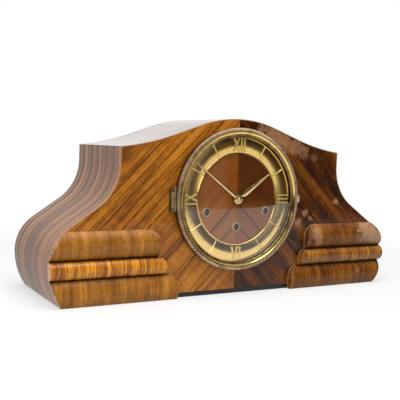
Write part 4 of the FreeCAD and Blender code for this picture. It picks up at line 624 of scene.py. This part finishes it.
class Finishes:
    """Every finish of the clock, built once; each material takes its name from here."""

    front_veneer = VeneerFinish(
        Figure.CHEVRON, dark=(0.2, 0.061, 0.004), middle=(0.47, 0.15, 0.009),
        light=(0.65, 0.245, 0.02), roughness=0.36, coat=0.4, specular=0.12,
        stops=(0.415, 0.5, 0.58), line_share=0.28, pore_strength=0.38, chips=0.85,
        streaks=((0.1095, 0.0026, 0.9), (0.1155, 0.0012, 0.6), (0.147, 0.0035, 0.7),
                 (0.155, 0.0016, 0.6), (0.172, 0.002, 0.45), (0.21, 0.0036, 0.7),
                 (0.218, 0.0014, 0.6), (0.243, 0.003, 0.7), (0.257, 0.0015, 0.6),
                 (0.272, 0.0028, 0.65), (0.072, 0.0012, 0.6), (0.061, 0.0022, 0.55),
                 (0.049, 0.0012, 0.6), (0.034, 0.0018, 0.5), (0.188, 0.0012, 0.6),
                 (0.229, 0.0012, 0.7), (0.284, 0.0012, 0.7), (0.298, 0.0026, 0.6)),
        worn=((0.034, 0.2095, 0.01, 0.7), (0.05, 0.205, 0.014, 0.85),
              (0.064, 0.198, 0.016, 0.9), (0.078, 0.191, 0.014, 0.65),
              (0.092, 0.189, 0.014, 0.65), (0.104, 0.182, 0.011, 0.5),
              (0.122, 0.176, 0.008, 0.3), (0.098, 0.089, 0.0075, 0.95),
              (0.109, 0.101, 0.0065, 0.85), (0.118, 0.094, 0.005, 0.7),
              (0.162, 0.116, 0.006, 1.0)), dial=DialWood())
    side_veneer = VeneerFinish(
        Figure.LENGTHWISE, dark=(0.085, 0.042, 0.028), middle=(0.21, 0.098, 0.05),
        light=(0.47, 0.21, 0.088), stops=(0.41, 0.5, 0.59), roughness=0.46, coat=0.24,
        coat_roughness=0.3, specular=0.3, broad=100.0, fine=330.0, bend=0.004, stretch=7.0,
        flame_share=0.04, line_share=0.3, pore_strength=0.3, edge=-0.07)
    top_veneer = VeneerFinish(
        Figure.LENGTHWISE, dark=(0.13, 0.075, 0.055), middle=(0.2, 0.12, 0.09),
        light=(0.42, 0.23, 0.14), roughness=0.22, coat=0.8, coat_roughness=0.14, specular=0.6,
        broad=90.0, fine=300.0, bend=0.004, stretch=6.0, flame_share=0.04, line_share=0.3,
        edge=-0.07)
    outer_moulding = VeneerFinish(
        Figure.CROSSWISE, dark=(0.19, 0.066, 0.008), middle=(0.42, 0.16, 0.02),
        light=(0.68, 0.29, 0.04), stops=(0.36, 0.5, 0.64), broad=110.0, fine=620.0,
        line_share=0.42, flame_share=0.22, curl=0.0012, coat=0.2, coat_roughness=0.24,
        specular=0.15, joints=JOINT_LEVELS)
    dark_moulding = replace(
        outer_moulding, dark=(0.1, 0.027, 0.002), middle=(0.23, 0.07, 0.004),
        light=(0.42, 0.15, 0.014), stops=(0.39, 0.5, 0.61), fine=560.0, line_share=0.5,
        flame_share=0.2, curl=0.005, coat=0.22, coat_roughness=0.2,
        worn=((0.214, 0.074, 0.02, 0.85), (0.228, 0.068, 0.018, 0.9), (0.238, 0.06, 0.012, 0.8),
              (0.124, 0.074, 0.012, 0.6), (0.13, 0.06, 0.008, 0.35), (0.2, 0.02, 0.006, 0.3)),
        worn_colour=(0.5, 0.3, 0.17))
    middle_moulding = replace(
        outer_moulding, dark=(0.24, 0.065, 0.003), middle=(0.62, 0.2, 0.008),
        light=(1.0, 0.46, 0.025), stops=(0.4, 0.5, 0.6), broad=170.0, fine=560.0,
        flame_share=0.18, coat=0.45, coat_roughness=0.14, specular=0.25)
    dark_gold_moulding = replace(
        middle_moulding, dark=(0.12, 0.034, 0.003), middle=(0.31, 0.1, 0.007),
        light=(0.62, 0.26, 0.022), stops=(0.4, 0.5, 0.59), broad=150.0, fine=520.0,
        line_share=0.44, curl=0.007)
    mouldings = {("lower", "left"): outer_moulding, ("middle", "left"): middle_moulding,
                 ("upper", "left"): outer_moulding, ("lower", "right"): dark_moulding,
                 ("middle", "right"): dark_gold_moulding, ("upper", "right"): dark_moulding}
    # Where each moulding's inner end stands, its top and its corner's radius, in millimetres
    moulding_ends = {"lower": (85.0, 31.0, 14.0), "middle": (101.0, 53.0, 12.0),
                     "upper": (110.0, 86.0, 16.0)}
    plain_board = VeneerFinish(
        Figure.PLAIN, dark=(0.1, 0.05, 0.02), middle=(0.19, 0.1, 0.042),
        light=(0.28, 0.16, 0.07), roughness=0.55, coat=0.0)
    black_base = PaintFinish((0.012, 0.011, 0.011), (0.006, 0.006, 0.006), roughness=0.4)
    rod_block = PaintFinish((0.05, 0.048, 0.045), (0.03, 0.028, 0.026), roughness=0.5)
    # Aged brass; under the rope its darkness is also painted shade between the strands
    bezel_brass = MetalFinish((0.26, 0.185, 0.105), (0.1, 0.07, 0.04), roughness=0.36,
                              tarnish_share=0.5)
    rope_brass = MetalFinish((0.76, 0.56, 0.34), (0.4, 0.28, 0.16), roughness=0.26,
                             metallic=0.9)
    polished_brass = MetalFinish((0.85, 0.58, 0.18), (0.55, 0.36, 0.1), roughness=0.14,
                                 tarnish_share=0.3)
    sight_brass = MetalFinish((0.36, 0.25, 0.11), (0.12, 0.08, 0.035), roughness=0.28,
                              tarnish_share=0.5)
    hinge_brass = MetalFinish((0.6, 0.46, 0.24), (0.26, 0.19, 0.09), roughness=0.3,
                              tarnish_share=0.45)
    tab_brass = MetalFinish((0.86, 0.76, 0.55), (0.6, 0.5, 0.32), roughness=0.3,
                            tarnish_share=0.3, metallic=0.6)
    dial_brass = MetalFinish((1.0, 0.71, 0.25), (0.74, 0.49, 0.14), roughness=0.14,
                             tarnish_share=0.25)
    marker_brass = MetalFinish((1.0, 0.79, 0.27), (0.95, 0.67, 0.18), roughness=0.18,
                               tarnish_share=0.2, metallic=0.35)
    hand_brass = MetalFinish((1.0, 0.77, 0.38), (0.9, 0.64, 0.26), roughness=0.14,
                             tarnish_share=0.2, metallic=0.9)
    # The grommets' insides behind the front panel take painted shade
    grommet_brass = MetalFinish((0.95, 0.8, 0.48), (0.8, 0.62, 0.32), roughness=0.2,
                                tarnish_share=0.3, metallic=0.5, shade_behind=-0.0701)
    movement_brass = MetalFinish((0.76, 0.56, 0.26), (0.66, 0.47, 0.2), roughness=0.3,
                                 spots=28.0, brushed=0.08, relief=0.3)
    steel = MetalFinish((0.26, 0.26, 0.27), (0.15, 0.15, 0.15), roughness=0.34)
    clear_glass = GlassFinish()

    def __init__(self) -> None:
        """Build each material, and one for each moulding with its own end."""
        self.made = {name: replace(finish, name=name).build()
                     for name, finish in vars(Finishes).items()
                     if hasattr(finish, "build") and not name.endswith("moulding")}
        for (level, side), wood in self.mouldings.items():
            inner, top, corner = (size * MM for size in self.moulding_ends[level])
            end = MouldingEnd(-1.0 if side == "left" else 1.0, inner, top, corner)
            finish = replace(wood, name=f"moulding_{level}_{side}", end=end)
            self.made[f"{level}_{side}_moulding"] = finish.build()

    def __getitem__(self, name: str) -> Material:
        """Return one built material by its name."""
        return self.made[name]


def new_object(name: str, data: bpy.types.ID) -> Piece:
    """Put a new object with this data into the scene and return it."""
    made = bpy.data.objects.new(name, data)
    bpy.context.scene.collection.objects.link(made)
    return made


def new_piece(name: str, corners: list[Place], faces: Faces,
              material: Material, smooth: bool = True) -> Piece:
    """Make a mesh piece whose place is in its mesh.

    Args:
        name: The piece's name.
        corners: Its corners in metres.
        faces: Its faces as corner numbers.
        material: Its finish.
        smooth: Whether it is shaded smooth.

    Returns:
        The new object.
    """
    mesh = bpy.data.meshes.new(name)
    mesh.from_pydata(corners, [], faces)
    mesh.polygons.foreach_set("use_smooth", [smooth] * len(mesh.polygons))
    mesh.materials.append(material)
    mesh.update()
    return new_object(name, mesh)


def mend(piece: Piece, sharp: float) -> None:
    """Merge doubles, turn faces outwards and keep the crisp edges.

    Args:
        piece: The mesh piece.
        sharp: From which angle in degrees an edge stays crisp.
    """
    work = bmesh.new()
    work.from_mesh(piece.data)
    bmesh.ops.remove_doubles(work, verts=work.verts, dist=MERGE_REACH)
    bmesh.ops.recalc_face_normals(work, faces=work.faces)
    for edge in work.edges:
        edge.smooth = len(edge.link_faces) == 2 and edge.calc_face_angle() < math.radians(sharp)
    work.to_mesh(piece.data)
    work.free()
    piece.data.update()


def skin(rows: int, count: int, closed: bool = False) -> Faces:
    """Join rows of corners, each row a loop, with faces.

    Args:
        rows: How many rows there are.
        count: How many corners each row has.
        closed: Whether the last row joins the first.

    Returns:
        The faces as corner numbers.
    """
    faces = []
    for row in range(rows if closed else rows - 1):
        near, far = row * count, (row + 1) % rows * count
        for index in range(count):
            after = (index + 1) % count
            faces.append((near + index, near + after, far + after, far + index))
    return faces


def circle(steps: int) -> list[Span]:
    """Return the cosine and the sine of each step of a full turn."""
    angles = [2 * math.pi * step / steps for step in range(steps)]
    return [(math.cos(angle), math.sin(angle)) for angle in angles]


def lathe(name: str, profile: list[Span], material: Material, steps: int = 300,
          sharp: float = CRISP_ANGLE) -> Piece:
    """Turn a closed profile about the dial's axis.

    Args:
        name: The piece's name.
        profile: Radius and depth in millimetres, in order round the profile.
        material: Its finish.
        steps: How many steps the turn has.
        sharp: From which angle in degrees an edge stays crisp.

    Returns:
        The new object.
    """
    corners = []
    for cosine, sine in circle(steps):
        corners += [(radius * MM * cosine, depth * MM, DIAL_Z + radius * MM * sine)
                    for radius, depth in profile]
    piece = new_piece(name, corners, skin(steps, len(profile), True), material)
    mend(piece, sharp)
    return piece


@dataclass(frozen=True)
class Post:
    """An upright round bar with softened ends, centred on the dial's height.

    Its x and y, its radius and half its height are in millimetres.
    """

    middle: Span
    radius: float
    half: float
    steps: int = 24
    soft_share: float = 0.25

    def build(self, name: str, material: Material) -> Piece:
        """Make the bar.

        Args:
            name: The piece's name.
            material: Its finish.

        Returns:
            The new object.
        """
        (x, y), radius, half, steps = self.middle, self.radius, self.half, self.steps
        soft = radius * self.soft_share
        corners = []
        for reach, rise in ((radius - soft, -half), (radius, soft - half),
                            (radius, half - soft), (radius - soft, half)):
            corners += [((x + reach * cosine) * MM, (y + reach * sine) * MM,
                         DIAL_Z + rise * MM) for cosine, sine in circle(steps)]
        ends = [tuple(reversed(range(steps))), tuple(range(3 * steps, 4 * steps))]
        piece = new_piece(name, corners, skin(4, steps) + ends, material)
        mend(piece, CRISP_ANGLE)
        return piece


@dataclass(frozen=True)
class Block:
    """A block with rounded edges: two far corners and the rounding, in millimetres."""

    low: Place
    high: Place
    soft: float
    rounding_steps: int = 3
    fullness: float = 0.6
    crisp: float = 40.0

    def build(self, name: str, material: Material) -> Piece:
        """Make the block.

        Args:
            name: The piece's name.
            material: Its finish.

        Returns:
            The new object.
        """
        (x_ends, y_ends, z_ends) = zip(self.low, self.high)
        corners = [(x * MM, y * MM, z * MM) for x in x_ends for y in y_ends for z in z_ends]
        faces = [(0, 1, 3, 2), (4, 6, 7, 5), (0, 4, 5, 1), (2, 3, 7, 6), (0, 2, 6, 4),
                 (1, 5, 7, 3)]
        piece = new_piece(name, corners, faces, material)
        work = bmesh.new()
        work.from_mesh(piece.data)
        bmesh.ops.bevel(work, geom=work.edges, offset=self.soft * MM, affect="EDGES",
                        segments=self.rounding_steps, profile=self.fullness)
        work.to_mesh(piece.data)
        work.free()
        mend(piece, self.crisp)
        return piece


def one_piece(name: str, parts: list[Piece]) -> Piece:
    """Join several meshes into one piece.

    Args:
        name: The piece's name.
        parts: The meshes, which are used up.

    Returns:
        The joined object.
    """
    with bpy.context.temp_override(active_object=parts[0], object=parts[0],
                                   selected_editable_objects=parts, selected_objects=parts):
        bpy.ops.object.join()
    parts[0].name = name
    parts[0].data.name = name
    return parts[0]


def from_tree(name: str, tree: bpy.types.NodeTree, values: dict[str, object]) -> Piece:
    """Run a geometry tree once and keep the plain mesh.

    Args:
        name: The piece's name.
        tree: The tree, which makes the whole piece.
        values: Its inputs, by name.

    Returns:
        The new object.
    """
    holder = new_object(name + "_source", bpy.data.meshes.new(name + "_source"))
    modifier = holder.modifiers.new("tree", "NODES")
    modifier.node_group = tree
    for item in tree.interface.items_tree:
        if item.in_out == "INPUT":
            modifier[item.identifier] = values[item.name]
    graph = bpy.context.evaluated_depsgraph_get()
    mesh = bpy.data.meshes.new_from_object(holder.evaluated_get(graph))
    mesh.name = name
    bpy.data.objects.remove(holder)
    return new_object(name, mesh)


@dataclass
class Solids:
    """The solid nodes: each takes the finish of its slot, or one of its own."""

    finishes: Finishes
    own: dict[str, str] = field(default_factory=lambda: {
        "winding_grommets": "grommet_brass", "top_arch": "top_veneer"})

    def dress(self) -> None:
        """Give each node its finish; a moulding's has the moulding's name."""
        for name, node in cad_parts.items():
            for holder in node.material_slots:
                slot = holder.material.name.split(".")[0]
                wanted = name if name.endswith("moulding") else self.own.get(name, slot)
                holder.material = self.finishes[wanted]
                LOG.info("node %s: %s", name, wanted)


@dataclass
class Bezel:
    """The bezel door's brass hoop with its rope edge, its glass, tab and knuckle.

    Every size is in millimetres and the lean is in degrees.
    """

    finishes: Finishes
    rope_radius: float = 87.7
    rope_depth: float = -78.6
    strands: int = 190
    strand_length: float = 6.4
    strand_width: float = 0.78
    lean: float = 50.0
    strand_sides: int = 8
    strand_rings: int = 6
    knuckle: Post = Post((-93.5, -73.0), 1.8, 9.3)
    rail: Post = Post((-90.6, -73.9), 1.35, 14.0)
    arm: Block = Block((-93.0, -73.9, 112.0), (-89.5, -72.6, 130.0), 0.3)
    plate: Block = Block((87.5, -77.4, 116.5), (93.5, -75.8, 125.5), 0.7)
    bead: Post = Post((92.7, -77.0), 0.7, 4.2)
    dome_rise: float = 7.0
    dome_radius: float = 79.5
    dome_steps: int = 24
    flange_radius: float = 83.6
    flange_depth: float = -76.3
    glass_thickness: float = 1.5
    glass_steps: int = 160
    glass_crisp: float = 60.0
    made: list[Piece] = field(default_factory=list)

    def rope(self) -> Piece:
        """Build the twisted edge as leaning strands set round a circle."""
        values = {"Radius": self.rope_radius * MM, "Strands": self.strands,
                  "Length": self.strand_length / 2 * MM, "Width": self.strand_width * MM,
                  "Lean": math.radians(self.lean), "Depth": self.rope_depth * MM,
                  "Finish": self.finishes["rope_brass"]}
        tree = bpy.data.node_groups.new("rope_edge", "GeometryNodeTree")
        desk = NodeDesk(tree)
        for label, value in values.items():
            kind = {int: "Int", float: "Float"}.get(type(value), "Material")
            tree.interface.new_socket(label, in_out="INPUT", socket_type="NodeSocket" + kind)
        tree.interface.new_socket("Geometry", in_out="OUTPUT", socket_type="NodeSocketGeometry")
        given = desk.node("NodeGroupInput").outputs
        ring = desk.node("GeometryNodeMeshCircle", {"Vertices": given["Strands"],
                                                    "Radius": given["Radius"]})
        spot = desk.node("GeometryNodeInputPosition").outputs[0]
        parts = desk.node("ShaderNodeSeparateXYZ", {0: spot}).outputs
        turn = desk.plus(desk.math("ARCTAN2", parts[1], parts[0]),
                         desk.plus(given["Lean"], math.pi / 2))
        turned = desk.node("FunctionNodeEulerToRotation", {0: desk.vector(0.0, 0.0, turn)})
        ball = desk.node("GeometryNodeMeshUVSphere", {
            "Segments": self.strand_sides, "Rings": self.strand_rings, "Radius": 1.0})
        strand = desk.node("GeometryNodeInstanceOnPoints", {
            "Points": ring.outputs[0], "Instance": ball.outputs[0],
            "Rotation": turned.outputs[0],
            "Scale": desk.vector(given["Length"], given["Width"], given["Width"])})
        whole = desk.node("GeometryNodeRealizeInstances", {0: strand.outputs[0]})
        placed = desk.node("GeometryNodeTransform", {
            "Geometry": whole.outputs[0],
            "Translation": desk.vector(0.0, given["Depth"], DIAL_Z),
            "Rotation": (math.pi / 2, 0.0, 0.0)})
        smooth = desk.node("GeometryNodeSetShadeSmooth", {"Geometry": placed.outputs[0]})
        coated = desk.node("GeometryNodeSetMaterial", {"Geometry": smooth.outputs[0],
                                                       "Material": given["Finish"]})
        desk.node("NodeGroupOutput", {0: coated.outputs[0]})
        return from_tree("bezel_rope", tree, values)

    def hoop(self) -> Piece:
        """Turn the outer roll that carries the twisted edge, in aged brass whose darkness is
        also painted shade in the gaps between the strands.
        """
        outline = [(84.2, -70.3), (90.0, -70.3), (90.0, -73.5), (90.4, -74.6), (90.5, -76.2),
                   (90.2, -77.2), (89.7, -77.7), (88.9, -78.0), (87.7, -78.1), (86.4, -78.0),
                   (85.4, -77.6), (85.0, -78.7), (84.2, -78.7)]
        return lathe("bezel_hoop", outline, self.finishes["bezel_brass"])

    def lip(self) -> Piece:
        """Turn the polished cone that faces inwards."""
        outline = [(82.5, -76.2), (85.0, -76.2), (85.0, -79.3), (84.9, -79.55), (84.7, -79.65),
                   (84.4, -79.55), (84.0, -79.25), (83.2, -78.5), (82.8, -78.15), (82.5, -78.05)]
        return lathe("bezel_lip", outline, self.finishes["polished_brass"])

    def sight(self) -> Piece:
        """Turn the dull cove and the fine rim round the dome."""
        outline = [(79.6, -76.3), (82.6, -76.3), (82.6, -77.6), (82.2, -77.2), (81.6, -77.0),
                   (81.2, -77.2), (80.9, -77.55), (80.6, -77.75), (80.3, -77.75),
                   (80.0, -77.55), (79.7, -77.2), (79.6, -76.9)]
        return lathe("bezel_sight", outline, self.finishes["sight_brass"])

    def hinge(self) -> Piece:
        """Make the moving knuckle with its rolled rail beside it."""
        brass = self.finishes["hinge_brass"]
        return one_piece("bezel_knuckle", [
            self.knuckle.build("knuckle", brass), self.rail.build("rail", brass),
            self.arm.build("arm", self.finishes["bezel_brass"])])

    def tab(self) -> Piece:
        """Make the small pull tab at the right."""
        brass = self.finishes["tab_brass"]
        return one_piece("bezel_tab", [self.plate.build("plate", brass),
                                       self.bead.build("bead", brass)])

    def glass(self) -> Piece:
        """Turn the domed glass with its flange."""
        flat, thick = self.flange_depth, self.glass_thickness
        curve = (self.dome_radius ** 2 + self.dome_rise ** 2) / (2 * self.dome_rise)
        outer = []
        for index in range(self.dome_steps + 1):
            radius = self.dome_radius * index / self.dome_steps
            rise = math.sqrt(curve ** 2 - radius ** 2) - (curve - self.dome_rise)
            outer.append((radius, flat - rise))
        inner = [(radius, depth + thick) for radius, depth in reversed(outer)]
        flange = [(self.flange_radius, flat), (self.flange_radius, flat + thick)]
        return lathe("dome_glass", outer + flange + inner, self.finishes["clear_glass"],
                     self.glass_steps, self.glass_crisp)

    def build(self) -> None:
        """Build every piece of the bezel door and let it ride on the door."""
        rope, hoop, lip, glass = self.rope(), self.hoop(), self.lip(), self.glass()
        brass_pieces = [rope, hoop, lip, self.hinge(), self.tab(), self.sight()]
        self.made = brass_pieces + [glass]
        for piece in self.made:
            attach(piece, "bezel_door")
        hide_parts("bezel_ring")
        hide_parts("bezel_glass")


@dataclass
class Dial:
    """The chapter ring, turned smooth with its crowned face; sizes in millimetres."""

    finishes: Finishes
    face_start: Span = (59.0, -71.1)
    face_end: Span = (77.8, -72.1)
    crown: float = 0.8
    face_steps: int = 16
    made: list[Piece] = field(default_factory=list)

    def ring(self) -> Piece:
        """Turn the chapter ring with its two rolled rims."""
        outline = [(57.5, -70.0), (57.5, -71.7), (57.8, -72.0), (58.7, -72.0), (59.0, -71.7)]
        (start, start_depth), (end, end_depth) = self.face_start, self.face_end
        for index in range(self.face_steps + 1):
            share = index / self.face_steps
            outline.append((start + (end - start) * share,
                            start_depth + (end_depth - start_depth) * share
                            - 4 * self.crown * share * (1 - share)))
        outline += [(77.9, -72.8), (78.2, -73.0), (79.2, -73.0), (79.5, -72.7), (79.5, -70.0)]
        return lathe("dial_ring", outline, self.finishes["dial_brass"])

    def build(self) -> None:
        """Build the ring and let it stand for the solid one."""
        ring = self.ring()
        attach(ring, "case")
        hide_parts("chapter_ring")
        self.made.append(ring)


@dataclass(frozen=True)
class HandShape:
    """One hand: its stations are distance from the centre and half width, in millimetres."""

    name: str
    body: str
    node: str
    stations: tuple[Span, ...]
    back: float
    height: float
    angle: float
    boss: float


@dataclass
class Hands:
    """The hour and minute hands with a ridge along the blade, and their boss.

    The shares are parts of a hand's height or of its boss.
    """

    finishes: Finishes
    shapes: tuple[HandShape, ...] = (
        HandShape("hour_blade", "hour_work", "hour_hand",
                  ((3.0, 1.2), (7.5, 1.1), (11.5, 3.6), (15.0, 3.5), (56.3, 0.2)),
                  back=-72.8, height=0.9, angle=55.5, boss=6.2),
        HandShape("minute_blade", "minute_work", "minute_hand",
                  ((3.0, 1.2), (8.0, 1.8), (40.0, 1.3), (77.8, 0.25)),
                  back=-73.9, height=0.8, angle=306.0, boss=5.1))
    edge_share: float = 0.15
    ridge_share: float = 0.3
    ridge_full_width: float = 2.2
    boss_wall_share: float = 0.7
    boss_face_share: float = 0.86
    boss_steps: int = 40
    crisp: float = 20.0
    made: list[Piece] = field(default_factory=list)

    def hand(self, shape: HandShape) -> Piece:
        """Make a ridged blade with a round boss.

        Args:
            shape: The hand's shape.

        Returns:
            The new object.
        """
        back, height, steps = shape.back, shape.height, self.boss_steps
        edge = back - height * self.edge_share
        corners = []
        for reach, half in shape.stations:
            ridge = back - height * min(1.0, self.ridge_share + half / self.ridge_full_width)
            corners += [(across * MM, depth * MM, reach * MM) for across, depth in (
                (-half, back), (-half, edge), (0.0, ridge), (half, edge), (half, back))]
        faces = skin(len(shape.stations), 5)
        faces += [(4, 3, 2, 1, 0), tuple(range(len(corners) - 5, len(corners)))]
        base = len(corners)
        outline = ((shape.boss, back), (shape.boss, back - height * self.boss_wall_share),
                   (shape.boss * self.boss_face_share, back - height))
        for cosine, sine in circle(steps):
            corners += [(radius * cosine * MM, depth * MM, radius * sine * MM)
                        for radius, depth in outline]
        back_centre, front_centre = len(corners), len(corners) + 1
        corners += [(0.0, back * MM, 0.0), (0.0, (back - height) * MM, 0.0)]
        for step in range(steps):
            near, far = base + step * 3, base + (step + 1) % steps * 3
            faces += [(near, far, far + 1, near + 1), (near + 1, far + 1, far + 2, near + 2),
                      (near, back_centre, far), (near + 2, far + 2, front_centre)]
        piece = new_piece(shape.name, corners, faces, self.finishes["hand_brass"], False)
        piece.data.transform(Matrix.Translation((0, 0, DIAL_Z)) @ Matrix.Rotation(
            math.radians(shape.angle), 4, "Y"))
        mend(piece, self.crisp)
        return piece

    def build(self) -> None:
        """Build both hands and let them ride with their wheels."""
        for shape in self.shapes:
            piece = self.hand(shape)
            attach(piece, shape.body)
            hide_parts(shape.node)
            self.made.append(piece)


@dataclass
class Studio:
    """The camera, the lamps, the surroundings and the pale floor.

    Angles of the camera are in degrees. A span of the surroundings says where a light starts
    and where it is full, along a direction's part or in radians from straight ahead.
    """

    camera_place: Place = (-0.4798, -0.8175, 0.1893)
    azimuth: float = -29.66
    elevation: float = 4.59
    roll: float = 2.0
    lens: float = 62.96
    sensor: float = 36.0
    nearest: float = 0.01
    behind: Span = (-0.35, 0.15)
    above: Span = (0.42, 0.6)
    above_strength: float = 0.6
    below: Span = (-0.11, -0.16)
    window_left: Span = (0.1, 0.3)
    window_right: Span = (0.48, 0.42)
    window_top: Span = (0.24, 0.14)
    window_strength: float = 0.24
    dark_room: Colour = (0.018, 0.018, 0.019)
    bright_room: Colour = (0.95, 0.95, 0.95)
    fill_strength: float = 0.45
    floor_side: float = 3.0
    floor_front: float = -0.78
    floor_grey: Colour = (0.5, 0.5, 0.5)
    floor_seen: Colour = (0.86, 0.86, 0.86)
    floor_fade: Span = (0.3, 0.75)
    floor_shadow: float = 0.45
    floor_mirrored: float = 0.9
    lamps: tuple[tuple[str, Place, float, float], ...] = (
        ("overhead_lamp", (-0.1, -0.35, 1.4), 1.2, 16.5),
        ("left_lamp", (-1.3, -0.9, 0.8), 0.8, 7.0))
    lamp_aim: Place = (0.0, 0.0, 0.1)

    def camera(self) -> None:
        """Set the camera at the photograph's view."""
        data = bpy.data.cameras.new("photo_camera")
        data.sensor_width = self.sensor
        data.lens = self.lens
        data.clip_start = self.nearest
        seer = new_object("photo_camera", data)
        around, above = math.radians(self.azimuth), math.radians(self.elevation)
        tilt = math.radians(self.roll)
        back = Vector((math.sin(around) * math.cos(above), -math.cos(around) * math.cos(above),
                       math.sin(above)))
        right = Vector((math.cos(around), math.sin(around), 0.0))
        upward = back.cross(right)
        across = right * math.cos(tilt) + upward * math.sin(tilt)
        rise = -right * math.sin(tilt) + upward * math.cos(tilt)
        turn = Matrix((across, rise, back)).transposed().to_4x4()
        seer.matrix_world = Matrix.Translation(self.camera_place) @ turn
        bpy.context.scene.camera = seer

    def lamp(self, name: str, place: Place, size: float, power: float) -> None:
        """Set a soft square lamp that faces the clock.

        Args:
            name: The lamp's name.
            place: Where it hangs.
            size: Its side in metres.
            power: Its power in watts.
        """
        data = bpy.data.lights.new(name, "AREA")
        data.size = size
        data.energy = power
        facing = Vector(self.lamp_aim) - Vector(place)
        new_object(name, data).matrix_world = (
            Matrix.Translation(place) @ facing.to_track_quat("-Z", "Y").to_matrix().to_4x4())

    def surroundings(self) -> None:
        """Light from all round; mirrors see white behind, above and below, and a dark room."""
        world = bpy.data.worlds.new("studio")
        bpy.context.scene.world = world
        desk = empty_tree(world)
        way = desk.node("ShaderNodeTexCoord").outputs["Generated"]
        x, y, z = desk.node("ShaderNodeSeparateXYZ", {0: way}).outputs
        above = desk.times(desk.step(z, *self.above), self.above_strength)
        turn = desk.math("ARCTAN2", x, desk.times(y, -1.0))
        window = desk.times(desk.step(turn, *self.window_left),
                            desk.step(turn, *self.window_right),
                            desk.step(z, *self.window_top), self.window_strength)
        lit = desk.step(y, *self.behind)
        for light in (above, desk.step(z, *self.below), window):
            lit = desk.math("MAXIMUM", lit, light)
        seen = desk.mix(lit, self.dark_room, self.bright_room)
        shown, mirrored, white = (
            desk.node("ShaderNodeBackground", {0: colour, 1: strength}).outputs[0]
            for colour, strength in ((WHITE, self.fill_strength), (seen, 1.0), (WHITE, 1.0)))
        rays = desk.node("ShaderNodeLightPath").outputs
        for kind, light in (("Is Glossy Ray", mirrored), ("Is Camera Ray", white),
                            ("Is Transmission Ray", white)):
            shown = desk.node("ShaderNodeMixShader", {0: rays[kind], 1: shown,
                                                      2: light}).outputs[0]
        desk.node("ShaderNodeOutputWorld", {0: shown})

    def floor(self) -> None:
        """Lay the pale floor that keeps the shadow."""
        material, desk = new_material("pale_floor")
        rays = desk.node("ShaderNodeLightPath").outputs
        paper = desk.mix(rays["Is Camera Ray"], self.floor_grey, self.floor_seen)
        lit = desk.node("ShaderNodeBsdfDiffuse", {0: paper})
        white = desk.node("ShaderNodeEmission", {0: WHITE, 1: 1.0})
        x, y, _, _ = desk.place()
        fade = desk.plus(desk.times(desk.step(desk.length(x, y), *self.floor_fade),
                                    self.floor_shadow), 1.0 - self.floor_shadow)
        share = desk.math("MAXIMUM", desk.times(rays["Is Camera Ray"], fade),
                          desk.times(rays["Is Glossy Ray"], self.floor_mirrored))
        both = desk.node("ShaderNodeMixShader", {0: share, 1: lit.outputs[0],
                                                 2: white.outputs[0]})
        desk.node("ShaderNodeOutputMaterial", {0: both.outputs[0]})
        side, front = self.floor_side, self.floor_front
        corners = [(-side, front, 0.0), (side, front, 0.0), (side, side, 0.0),
                   (-side, side, 0.0)]
        floor = new_piece("pale_floor", corners, [(0, 1, 2, 3)], material, False)

    def build(self) -> None:
        """Build the whole studio."""
        self.camera()
        self.surroundings()
        self.floor()
        for lamp in self.lamps:
            self.lamp(*lamp)
        bpy.context.scene.view_settings.view_transform = "Standard"


def main() -> None:
    """Build each sub-assembly in order and log its pieces."""
    logging.basicConfig(level=logging.INFO, format="%(name)s: %(message)s")
    finishes = Finishes()
    Solids(finishes).dress()
    for assembly in (Bezel(finishes), Dial(finishes), Hands(finishes)):
        assembly.build()
        for piece in assembly.made:
            LOG.info("%s: %d faces", piece.name, len(piece.data.polygons))
    Studio().build()


if __name__ == "__main__":
    main()
